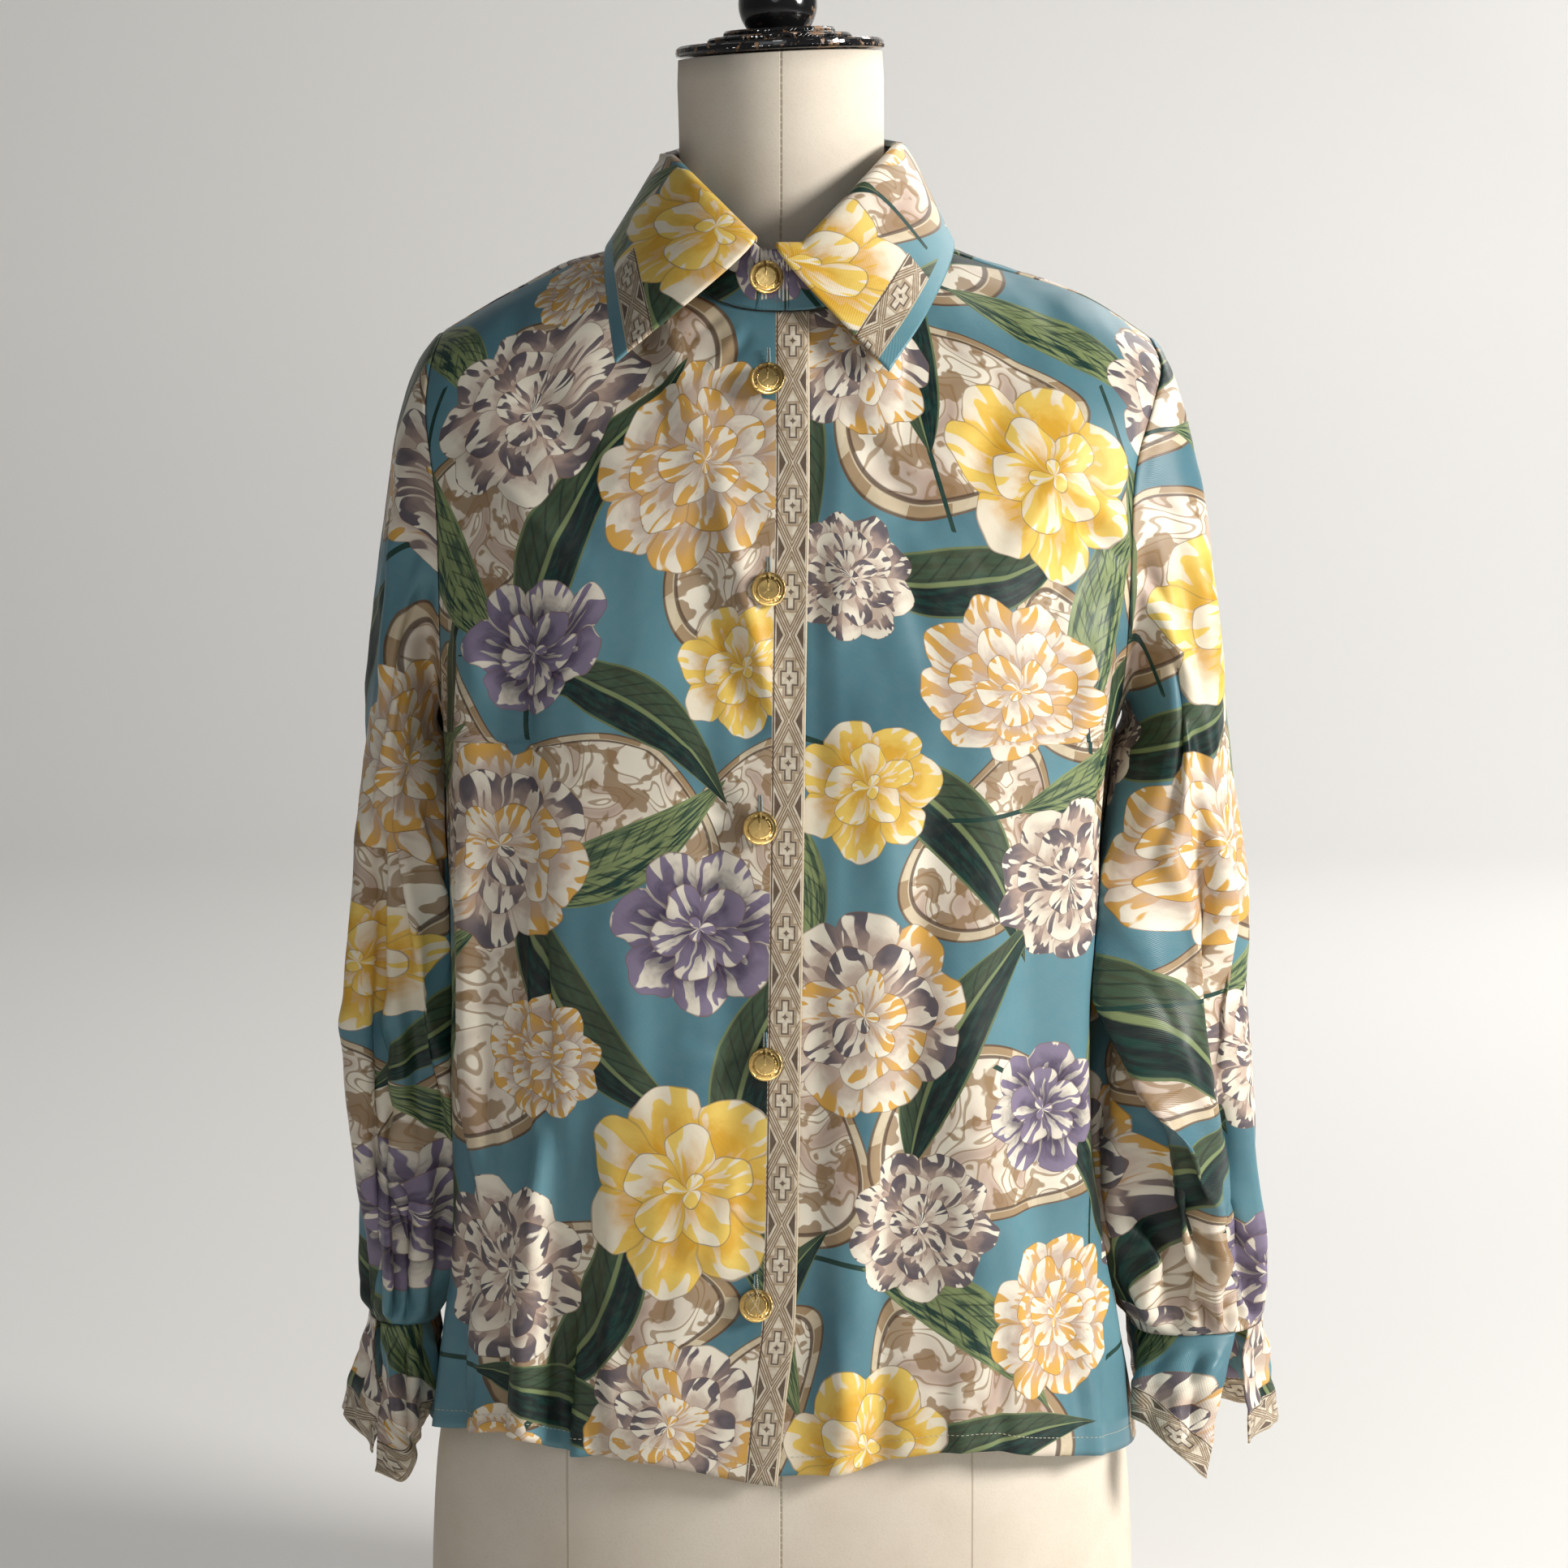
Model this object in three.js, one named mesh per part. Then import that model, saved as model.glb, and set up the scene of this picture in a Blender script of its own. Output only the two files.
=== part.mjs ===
// A long-sleeved silk blouse worn by a limbless dress form with a turned neck cap.
// Millimetres, +Z up. The front faces -Y, the viewer's right is +X, and Z is 0 under the form.
// Right and left in names are the wearer's own, so the right front is on the viewer's left.
import * as THREE from "three";

// Cloth, seams and the lap of one front over the other
const clothThickness = 1.4;
const seamGap = 0.3;
const lapStep = 2.5;
const lapFrom = 15;
const lapTo = 29;
const underLapEdge = -13;

// Levels of the body
const underarmHeight = 515;
const chestHeight = 620;
const middleAtUnderarm = 508;
const hemBelowUnderarm = 350; // where a column's turn decides its height at the hem

// Girth of the body at each level: reach to the viewer's left and right, and depth to front and back
const bodySections = [
  { z: 120, left: 188, right: 187, front: 119, back: 115, power: 2.9 },
  { z: 150, left: 186, right: 185, front: 119, back: 114, power: 2.9 },
  { z: 200, left: 177, right: 176, front: 118, back: 112, power: 3.1 },
  { z: 260, left: 171, right: 167, front: 118, back: 110, power: 3.3 },
  { z: 355, left: 170, right: 160, front: 119, back: 108, power: 3.5 },
  { z: 450, left: 172, right: 165, front: 120, back: 108, power: 3.3 },
  { z: 515, left: 174, right: 172, front: 120, back: 110, power: 3.1 },
  { z: 560, left: 179, right: 181, front: 120, back: 112, power: 2.8 },
  { z: 620, left: 193, right: 196, front: 118, back: 114, power: 2.5 },
  { z: 700, left: 200, right: 205, front: 112, back: 110, power: 2.4 },
];

// Height of the hem, by the turn round the body from centre front in degrees
const hemRightFront = [
  { turn: -90, z: 152 }, { turn: -72, z: 157 }, { turn: -52, z: 165 }, { turn: -47, z: 156 },
  { turn: -38, z: 157 }, { turn: -27, z: 154 }, { turn: -10, z: 146 }, { turn: 8, z: 141 },
];
const hemLeftFront = [
  { turn: -8, z: 147 }, { turn: 18, z: 151 }, { turn: 27, z: 157 }, { turn: 41, z: 160 },
  { turn: 52, z: 154 }, { turn: 70, z: 146 }, { turn: 90, z: 141 },
];
const hemBack = [
  { turn: -90, z: 152 }, { turn: -60, z: 147 }, { turn: -25, z: 153 }, { turn: 10, z: 148 },
  { turn: 45, z: 152 }, { turn: 90, z: 141 },
];

// Folded edge of the front that lies on top: how far it passes centre front at each level
const lapEdge = [
  { z: 141, x: -2.7 }, { z: 190, x: 2.4 }, { z: 228, x: 6.6 }, { z: 384, x: 9.7 },
  { z: 565, x: 12 }, { z: 650, x: 13.5 }, { z: 728, x: 13.3 },
];

// Folds that hang down the body. Depth is outward for a ridge, inward below zero.
// Turn and lean are in degrees, lean for each 100 mm up; width, low, high and fade are in mm.
// A fold whose low end is under hemReach runs on through the hem.
const bodyFolds = [
  { turn: -59, lean: -1, width: 10, depth: 7, low: 300, high: 560, fade: 60 },
  { turn: -52, lean: -1, width: 9, depth: -8, low: 300, high: 570, fade: 60 },
  { turn: -44, lean: 3, width: 9, depth: -9, low: 150, high: 340, fade: 60 },
  { turn: -51, lean: 3, width: 10, depth: 6, low: 140, high: 330, fade: 60 },
  { turn: -66, lean: 2, width: 12, depth: 4, low: 200, high: 560, fade: 90 },
  { turn: -78, lean: 0, width: 11, depth: -6, low: 180, high: 430, fade: 80 },
  { turn: -24, lean: 5, width: 15, depth: 3, low: 150, high: 420, fade: 90 },
  { turn: -15, lean: -3, width: 13, depth: -2.5, low: 240, high: 620, fade: 90 },
  { turn: 18, lean: 3, width: 15, depth: 4, low: 140, high: 470, fade: 90 },
  { turn: 28, lean: 4, width: 12, depth: -5, low: 140, high: 520, fade: 90 },
  { turn: 41, lean: -3, width: 14, depth: 5, low: 140, high: 400, fade: 80 },
  { turn: 52, lean: -2, width: 12, depth: -5, low: 180, high: 500, fade: 80 },
  { turn: 62, lean: 0, width: 12, depth: 6, low: 260, high: 560, fade: 70 },
  { turn: 77, lean: 0, width: 13, depth: -9, low: 230, high: 500, fade: 70 },
  { turn: 112, lean: 1, width: 13, depth: -6, low: 170, high: 520, fade: 90 },
  { turn: 126, lean: 3, width: 15, depth: 7, low: 140, high: 560, fade: 110 },
  { turn: 141, lean: -2, width: 14, depth: -6, low: 140, high: 500, fade: 90 },
  { turn: 158, lean: 4, width: 16, depth: 6, low: 140, high: 600, fade: 120 },
  { turn: 176, lean: -3, width: 15, depth: -5, low: 140, high: 480, fade: 90 },
  { turn: -165, lean: 3, width: 16, depth: 6, low: 140, high: 570, fade: 120 },
  { turn: -148, lean: -2, width: 13, depth: -6, low: 140, high: 500, fade: 90 },
  { turn: -131, lean: 2, width: 16, depth: 7, low: 140, high: 560, fade: 110 },
  { turn: -112, lean: 0, width: 13, depth: -5, low: 170, high: 500, fade: 90 },
];

const hemReach = 160;
const foldRadius = 150; // from the body's axis, where a fold's width is measured

// Neckline and shoulder seam
const neckline = {
  side: 66, sideY: -12, sideHeight: 762,
  frontY: -80, frontHeight: 727, backY: 54, backHeight: 784,
};
const shoulderSeamY = -12;
const archFront = 0.95; // how strongly a panel is drawn into the direction of its top edge
const archBack = 1.1;
const armholeEase = 0.45; // share of a panel's width where the armhole's shape begins to tell
const rightSeam = [
  { x: 66, z: 762 }, { x: 84, z: 755.5 }, { x: 108, z: 748.5 }, { x: 140, z: 733.5 }, { x: 172, z: 715 },
];
const leftSeam = [
  { x: 66, z: 762 }, { x: 84, z: 756 }, { x: 108, z: 748 }, { x: 153, z: 733 }, { x: 186, z: 712.5 },
];

// Armholes: depth to front and back, and the reach of the seam at each level
const armholeFront = 66;
const armholeBack = 64;
const rightArmhole = [
  { z: 515, x: 174 }, { z: 560, x: 172 }, { z: 600, x: 171.5 }, { z: 636, x: 172.5 },
  { z: 676, x: 177.5 }, { z: 700, x: 176 }, { z: 716, x: 172 },
];
const leftArmhole = [
  { z: 515, x: 172 }, { z: 560, x: 173.5 }, { z: 600, x: 174 }, { z: 649, x: 176 },
  { z: 683, x: 186 }, { z: 699, x: 190 }, { z: 714, x: 186 },
];

// Sleeves below the armhole: inner and outer reach, and depth to front and back
const rightSleeveSections = [
  { z: 496, inner: 178, outer: 213, front: 64, back: 66 },
  { z: 448, inner: 176.5, outer: 220, front: 62, back: 68 },
  { z: 382, inner: 175, outer: 223, front: 60, back: 68 },
  { z: 305, inner: 175, outer: 222, front: 58, back: 64 },
  { z: 250, inner: 177, outer: 219, front: 52, back: 58 },
  { z: 206, inner: 181, outer: 216, front: 44, back: 50 },
];
const leftSleeveSections = [
  { z: 496, inner: 177, outer: 232, front: 66, back: 66 },
  { z: 445, inner: 173, outer: 236, front: 68, back: 66 },
  { z: 380, inner: 168, outer: 239, front: 68, back: 66 },
  { z: 330, inner: 167, outer: 241, front: 66, back: 64 },
  { z: 280, inner: 171, outer: 244, front: 60, back: 60 },
  { z: 235, inner: 177, outer: 248, front: 52, back: 54 },
  { z: 200, inner: 182, outer: 252, front: 42, back: 46 },
];
const sleeveSlack = { rightTop: 100, rightOuter: 150, leftTop: 62, leftOuter: 200, turnOver: 60 };

// Folds of the sleeves. Turn is 0 at the body, 90 in front, 180 outside and 270 behind, lean as above.
const rightSleeveFolds = [
  { turn: 62, lean: 20, width: 9, depth: 7, low: 250, high: 480, fade: 60 },
  { turn: 96, lean: 16, width: 9, depth: -8, low: 220, high: 470, fade: 70 },
  { turn: 128, lean: 10, width: 10, depth: 6, low: 230, high: 500, fade: 80 },
  { turn: 160, lean: -6, width: 10, depth: -3, low: 220, high: 420, fade: 70 },
  { turn: 232, lean: 8, width: 12, depth: -7, low: 220, high: 480, fade: 80 },
  { turn: 275, lean: -6, width: 12, depth: 6, low: 230, high: 480, fade: 80 },
  { turn: 318, lean: 6, width: 11, depth: -6, low: 230, high: 440, fade: 70 },
];
const leftSleeveFolds = [
  { turn: 92, lean: -42, width: 13, depth: 9, low: 255, high: 450, fade: 45 },
  { turn: 55, lean: -32, width: 15, depth: -17, low: 225, high: 385, fade: 45 },
  { turn: 84, lean: -6, width: 9, depth: 8, low: 200, high: 320, fade: 40 },
  { turn: 128, lean: 8, width: 10, depth: -10, low: 215, high: 430, fade: 70 },
  { turn: 158, lean: 3, width: 10, depth: 4, low: 215, high: 460, fade: 80 },
  { turn: 100, lean: 14, width: 12, depth: -5, low: 380, high: 520, fade: 50 },
  { turn: 228, lean: 9, width: 12, depth: -8, low: 220, high: 480, fade: 80 },
  { turn: 270, lean: -7, width: 12, depth: 7, low: 220, high: 480, fade: 80 },
  { turn: 312, lean: 6, width: 12, depth: -7, low: 220, high: 440, fade: 70 },
];
const gatherCount = 7;
const gatherDepth = 2.4;
const gatherReach = 55;
const sleeveFoldRadius = 50;

// Lower edge of each open cuff, from one end of the band round the outside, back and body to the other
const rightCuffEdge = [
  { turn: 135, x: -212, y: -30, z: 134 }, { turn: 180, x: -229, y: 0, z: 146 },
  { turn: 225, x: -226, y: 36, z: 140 }, { turn: 270, x: -206, y: 62, z: 136 },
  { turn: 315, x: -193, y: 40, z: 140 }, { turn: 360, x: -191, y: 0, z: 146 },
  { turn: 405, x: -188, y: -46, z: 146 }, { turn: 450, x: -194, y: -63, z: 129 },
  { turn: 480, x: -210, y: -60, z: 133 },
];
const leftCuffEdge = [
  { turn: 135, x: 242, y: -30, z: 139 }, { turn: 180, x: 262, y: 0, z: 142 },
  { turn: 225, x: 256, y: 36, z: 138 }, { turn: 270, x: 230, y: 56, z: 140 },
  { turn: 315, x: 202, y: 40, z: 148 }, { turn: 360, x: 190, y: 0, z: 156 },
  { turn: 405, x: 186, y: -44, z: 157 }, { turn: 450, x: 203, y: -62, z: 143 },
  { turn: 480, x: 219, y: -63, z: 130 },
];
const cuffRows = 4;
const cuffFlare = -1.5; // how far the band's middle bows towards the body
const cuffFirstRound = 9; // the sleeve's point above the first end of the band

// Collar: the stand rises from the neckline to the fold, and the leaf turns over and down from it
const foldLine = {
  sideReachRight: 56, sideReachLeft: 58, frontY: -75, backY: 59,
  frontHeight: 757, sideHeightRight: 802, sideHeightLeft: 807, backHeight: 815, flatTo: 10,
};
const standEndTop = 5;
const standRows = 4;
const foldRoll = 2.4;
const leafClearance = 3.4;
const rightLeafEdge = [
  { x: -81, y: -98, z: 702 }, { x: -86, y: -62, z: 730 }, { x: -88, y: -12, z: 757 },
  { x: -76, y: 34, z: 764 }, { x: -44, y: 68, z: 762 }, { x: 0, y: 84, z: 757 },
];
const leftLeafEdge = [
  { x: 52, y: -100, z: 698 }, { x: 70, y: -76, z: 724 }, { x: 86, y: -20, z: 758 },
  { x: 77, y: 32, z: 766 }, { x: 45, y: 68, z: 763 }, { x: 0, y: 84, z: 757 },
];
const leafStart = { right: -12.5, left: -3 };
const leafRows = 6;
const rollAngles = [180, 140, 95, 50];
const leafAway = { out: 0.77, up: -0.64, slack: 0.35 }; // how the leaf leaves the fold
const standLift = seamGap * 1.3;
const leafLift = seamGap * 1.5;

// Buttons: a domed metal face with a raised rim on a short shank
const button = {
  radius: 8.4, rim: 1.1, thick: 2.6, dome: 1.1, shankRadius: 2.6, shankLength: 1.6, sides: 14,
};
const buttonPlaces = [
  { name: "button_2", x: -6.6, z: 693.4 },
  { name: "button_3", x: -6.5, z: 593.7 },
  { name: "button_4", x: -10.6, z: 477 },
  { name: "button_5", x: -8.3, z: 359 },
  { name: "button_6", x: -13, z: 236 },
];
const collarButton = { name: "button_1", x: -7, rise: 0.5 }; // rise is its share of the stand's height

// Dress form: half width, depth to front and back at each level
const formSections = [
  { z: 0, half: 187, front: 112, back: 110, power: 2.3 },
  { z: 60, half: 188, front: 113, back: 111, power: 2.3 },
  { z: 120, half: 185, front: 111, back: 110, power: 2.3 },
  { z: 146, half: 182, front: 109, back: 108, power: 2.3 },
  { z: 200, half: 171, front: 102, back: 102, power: 2.3 },
  { z: 265, half: 148, front: 92, back: 88, power: 2.2 },
  { z: 330, half: 126, front: 88, back: 78, power: 2.1 },
  { z: 400, half: 128, front: 92, back: 80, power: 2.1 },
  { z: 470, half: 139, front: 102, back: 88, power: 2.2 },
  { z: 540, half: 150, front: 110, back: 96, power: 2.2 },
  { z: 600, half: 156, front: 106, back: 100, power: 2.2 },
  { z: 660, half: 162, front: 88, back: 90, power: 2.2 },
  { z: 695, half: 166, front: 64, back: 72, power: 2.2 },
  { z: 712, half: 163, front: 50, back: 56, power: 2.1 },
  { z: 730, half: 139.5, front: 44, back: 45, power: 2 },
  { z: 742, half: 114, front: 42, back: 42, power: 2 },
  { z: 751, half: 85, front: 42, back: 42, power: 2 },
  { z: 759, half: 62, front: 46, back: 46, power: 2 },
  { z: 776, half: 53, front: 51, back: 51, power: 2 },
  { z: 800, half: 52, front: 52, back: 52, power: 2 },
];
const formSides = 32;
const formClearance = 1.1; // under the cloth at the shoulders, which carry it
const formTuckTop = neckline.frontHeight + 40; // the form is fitted under the cloth up to here
const neckTop = { z: 854.7, radius: 52.8, shift: -1, tilt: 2.7 };

// Turned neck cap: radius and height of each step of its profile
const capProfile = [
  { radius: 51.2, height: 0 }, { radius: 52.6, height: 1.2 }, { radius: 52.6, height: 3.8 },
  { radius: 51, height: 5.2 }, { radius: 36.4, height: 5.8 }, { radius: 36.4, height: 7.8 },
  { radius: 35, height: 8.8 }, { radius: 28.2, height: 9.2 }, { radius: 28.2, height: 11 },
  { radius: 27.4, height: 11.9 },
];
const capSides = 32;
const finial = { radius: 20, footRadius: 15.8, steps: 9, sides: 20 };

// Number of strips in each panel: columns from the centre out, and rows below and above the underarm
const frontColumns = 18;
const frontNeckColumns = 8;
const backColumns = 14;
const backNeckColumns = 6;
const rowsBelow = 11;
const rowsAbove = 12;
const sleeveRounds = 2 * rowsAbove;
const turnOverSteps = [0.1, 0.22, 0.38, 0.58, 0.8, 1];
const lowerSleeveRings = 13;

const silk = { color: 0x6ba0ad, roughness: 0.5, metalness: 0 };
const canvas = { color: 0xe4dac6, roughness: 0.9, metalness: 0 };
const gilt = { color: 0xc8a050, roughness: 0.35, metalness: 1 };
const blackGloss = { color: 0x15120f, roughness: 0.2, metalness: 0 };

const degrees = THREE.MathUtils.degToRad;
const mix = THREE.MathUtils.lerp;
const ease = THREE.MathUtils.smoothstep;

// A smooth function through one column of a table, held level past its ends
function curveOf(rows, key, column) {
  const at = rows.map((row) => row[key]);
  const value = rows.map((row) => row[column]);
  const slopes = value.map((v, i) => {
    const before = Math.max(i - 1, 0);
    const after = Math.min(i + 1, value.length - 1);
    return (value[after] - value[before]) / (at[after] - at[before]);
  });
  return (x) => {
    if (x <= at[0]) return value[0];
    if (x >= at[at.length - 1]) return value[value.length - 1];
    const i = at.findIndex((start, k) => x >= start && x <= at[k + 1]);
    const span = at[i + 1] - at[i];
    const f = (x - at[i]) / span;
    return hermite(value[i], slopes[i] * span, value[i + 1], slopes[i + 1] * span, f);
  };
}

function hermite(start, startSlope, end, endSlope, f) {
  const g = 1 - f;
  return start * (1 + 2 * f) * g * g + startSlope * f * g * g +
    end * f * f * (3 - 2 * f) - endSlope * f * f * g;
}

function hermitePoint(start, startSlope, end, endSlope, f) {
  return new THREE.Vector3(
    hermite(start.x, startSlope.x, end.x, endSlope.x, f),
    hermite(start.y, startSlope.y, end.y, endSlope.y, f),
    hermite(start.z, startSlope.z, end.z, endSlope.z, f),
  );
}

function curvesOf(rows, key) {
  const columns = Object.keys(rows[0]).filter((name) => name !== key);
  return Object.fromEntries(columns.map((name) => [name, curveOf(rows, key, name)]));
}

// Sum of the folds at a turn and a height. A fold is a rounded ridge or trough that fades at both ends.
function foldDepth(folds, turn, z, radius) {
  let sum = 0;
  for (const fold of folds) {
    const middle = (fold.low + fold.high) / 2;
    let off = turn - fold.turn - (fold.lean * (z - middle)) / 100;
    off -= 360 * Math.round(off / 360);
    const across = (degrees(off) * radius) / fold.width;
    const strength = ease(z, fold.low - fold.fade / 2, fold.low + fold.fade / 2) *
      (1 - ease(z, fold.high - fold.fade / 2, fold.high + fold.fade / 2));
    const belowTop = 1 - ease(z, fold.high - fold.fade, fold.high + fold.fade / 2);
    const reachesHem = fold.low < hemReach ? belowTop : strength;
    sum += fold.depth * reachesHem * Math.exp(-across * across);
  }
  return sum;
}

// Body

const body = curvesOf(bodySections, "z");

function bodyPoint(turn, z) {
  const angle = degrees(turn);
  const reach = turn > 0 ? body.right(z) : body.left(z);
  const depth = Math.abs(turn) < 90 ? body.front(z) : body.back(z);
  const power = body.power(z);
  const round = Math.pow(Math.abs(Math.sin(angle)) / reach, power) +
    Math.pow(Math.abs(Math.cos(angle)) / depth, power);
  const radius = Math.pow(round, -1 / power) + foldDepth(bodyFolds, turn, z, foldRadius);
  return new THREE.Vector3(radius * Math.sin(angle), -radius * Math.cos(angle), z);
}

const lapEdgeX = curveOf(lapEdge, "z", "x");
const seams = { "-1": curveOf(rightSeam, "x", "z"), 1: curveOf(leftSeam, "x", "z") };
const seamEnds = { "-1": rightSeam.at(-1).x, 1: leftSeam.at(-1).x };
const armholeReach = { "-1": curveOf(rightArmhole, "z", "x"), 1: curveOf(leftArmhole, "z", "x") };
const hems = {
  front: { "-1": curveOf(hemRightFront, "turn", "z"), 1: curveOf(hemLeftFront, "turn", "z") },
  back: curveOf(hemBack, "turn", "z"),
};

// A point of the armhole seam, from the underarm at 0 to the shoulder at 1
function armholePoint(face, side, f) {
  const top = seams[side](seamEnds[side]);
  const z = mix(underarmHeight, top, (1 - Math.cos(Math.PI * f)) / 2);
  const swing = Math.sin(Math.PI * f);
  const y = shoulderSeamY * f + (face === "front" ? -armholeFront : armholeBack) * swing;
  return new THREE.Vector3(side * armholeReach[side](z), y, z);
}

// Turn of the panel's outer edge at a height: the side seam, then the armhole
function outerTurn(face, side, z) {
  const sideTurn = side * 90;
  if (z <= underarmHeight) return sideTurn;
  const top = seams[side](seamEnds[side]);
  const share = Math.min((z - underarmHeight) / (top - underarmHeight), 1);
  const edge = armholePoint(face, side, Math.acos(1 - 2 * share) / Math.PI);
  return THREE.MathUtils.radToDeg(Math.atan2(edge.x, -edge.y));
}

// The top of a panel: the neckline, then the shoulder seam
function topPoint(face, side, s) {
  const neckShare = face === "front" ? frontNeckColumns / frontColumns : backNeckColumns / backColumns;
  if (s >= neckShare) {
    const x = mix(neckline.side, seamEnds[side], (s - neckShare) / (1 - neckShare));
    return new THREE.Vector3(side * x, shoulderSeamY, seams[side](x));
  }
  const f = s / neckShare;
  const round = Math.sin((f * Math.PI) / 2);
  const fall = Math.cos((f * Math.PI) / 2);
  if (face === "back") {
    return new THREE.Vector3(
      side * neckline.side * round,
      mix(neckline.sideY, neckline.backY, fall),
      mix(neckline.backHeight, neckline.sideHeight, Math.pow(f, 1.5)),
    );
  }
  const x = mix(frontEdgeX(side, neckline.frontHeight), side * neckline.side, round);
  const share = Math.min(Math.abs(x) / neckline.side, 1);
  const y = mix(neckline.sideY, neckline.frontY, Math.sqrt(1 - share * share));
  return new THREE.Vector3(x, y, mix(neckline.frontHeight, neckline.sideHeight, Math.pow(share, 2.6)));
}

// Direction in which a panel arrives at its top edge
function topDirection(face, side, s) {
  const neckShare = face === "front" ? frontNeckColumns / frontColumns : backNeckColumns / backColumns;
  const over = new THREE.Vector3(0, face === "front" ? 0.93 : -0.93, face === "front" ? 0.36 : -0.36);
  if (s >= neckShare) return over;
  const up = new THREE.Vector3(0, face === "front" ? 0.55 : -0.4, 0.85);
  return up.lerp(over, ease(s / neckShare, 0.35, 1)).normalize();
}

function frontEdgeX(side, z) {
  return side < 0 ? lapEdgeX(z) : underLapEdge;
}

function centreTurn(face, side, z) {
  if (face === "back") return side * 180;
  return THREE.MathUtils.radToDeg(Math.atan2(frontEdgeX(side, z), body.front(z)));
}

function hemHeight(face, side, turn) {
  if (face === "front") return hems.front[side](turn);
  const fromBack = turn > 0 ? 180 - turn : -180 - turn;
  return hems.back(fromBack);
}

// A point of half a panel: s from the centre to the outer edge, t from the hem to the top
function panelBase(face, side, s, t) {
  const low = rowsBelow / (rowsBelow + rowsAbove);
  const turnAt = (z) => mix(centreTurn(face, side, z), outerTurn(face, side, z), s);
  const underarmRow = mix(middleAtUnderarm, underarmHeight, s);
  if (t <= low) {
    const hem = hemHeight(face, side, turnAt(underarmRow - hemBelowUnderarm));
    const z = mix(hem, underarmRow, t / low);
    return bodyPoint(turnAt(z), z);
  }
  const f = (t - low) / (1 - low);
  const top = topPoint(face, side, s);
  const share = mix(f, (1 - Math.cos(Math.PI * f)) / 2, s * s);
  const z = mix(underarmRow, top.z, share);
  if (z <= chestHeight) return bodyPoint(turnAt(z), z);
  const start = bodyPoint(turnAt(chestHeight), chestHeight);
  const rise = top.z - chestHeight;
  const below = 10;
  const startSlope = start.clone().sub(bodyPoint(turnAt(chestHeight - below), chestHeight - below));
  startSlope.multiplyScalar(rise / below);
  const arch = face === "front" ? archFront : archBack;
  const endSlope = topDirection(face, side, s).multiplyScalar(rise * arch);
  return hermitePoint(start, startSlope, top, endSlope, (z - chestHeight) / rise);
}

function panelPoint(face, side, s, t) {
  const point = panelBase(face, side, s, t);
  const low = rowsBelow / (rowsBelow + rowsAbove);
  if (t > low) {
    const miss = armholePoint(face, side, (t - low) / (1 - low)).sub(panelBase(face, side, 1, t));
    point.addScaledVector(miss, ease(s, armholeEase, 1));
  }
  return point;
}

// A panel as one grid across: u from -1 to 1 on the back, 0 to 1 on a front
function backPoint(u, t) {
  return panelPoint("back", u < 0 ? -1 : 1, Math.abs(u), t);
}

function normalOf(point, u, v, uRange, vRange, sign) {
  const step = 0.004;
  const u0 = Math.max(u - step, uRange[0]);
  const u1 = Math.min(u + step, uRange[1]);
  const v0 = Math.max(v - step, vRange[0]);
  const v1 = Math.min(v + step, vRange[1]);
  const across = point(u1, v).sub(point(u0, v));
  const up = point(u, v1).sub(point(u, v0));
  return across.cross(up).normalize().multiplyScalar(sign);
}

const sideLength = 190; // rough width and height of a front
const heightLength = 590;

// Panels stop half a seam gap short of their shared edges, so s and t run a little inside 0 to 1
function insetOf(length) {
  return seamGap / 2 / length;
}

function frontPanel(side) {
  const point = (s, t) => panelPoint("front", side, s, t);
  const normal = (s, t) => normalOf(point, s, t, [0, 1], [0, 1], side);
  const beneath = (p, n) => side > 0 ? p.addScaledVector(n, -lapStep * (1 - ease(p.x, lapFrom, lapTo))) : p;
  return gridOf(frontColumns, 0, 1, (s, t) => {
    const n = normal(s, t);
    return { point: beneath(point(s, t), n), normal: n };
  });
}

function backPanel() {
  return gridOf(2 * backColumns, -1, 1, (u, t) => ({
    point: backPoint(u, t),
    normal: normalOf(backPoint, u, t, [-1, 1], [0, 1], -1),
  }));
}

function gridOf(columns, from, to, sample) {
  const rows = [];
  for (let j = 0; j <= rowsBelow + rowsAbove; j++) {
    const row = [];
    for (let i = 0; i <= columns; i++) {
      let u = mix(from, to, i / columns);
      let t = j / (rowsBelow + rowsAbove);
      if (Math.abs(u) === 1) u -= Math.sign(u) * insetOf(sideLength);
      if (j === rowsBelow + rowsAbove) t -= insetOf(heightLength);
      row.push(sample(u, t));
    }
    rows.push(row);
  }
  return rows;
}

// Volume inside a closed surface, below zero where its faces point inwards
function volumeOf(positions, faces) {
  const corner = (k) => new THREE.Vector3().fromArray(positions, 3 * faces[k]);
  let sum = 0;
  for (let k = 0; k < faces.length; k += 3) sum += corner(k).dot(corner(k + 1).cross(corner(k + 2)));
  return sum / 6;
}

// Walls: a grid of outer points with normals becomes a closed wall of even thickness

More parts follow.
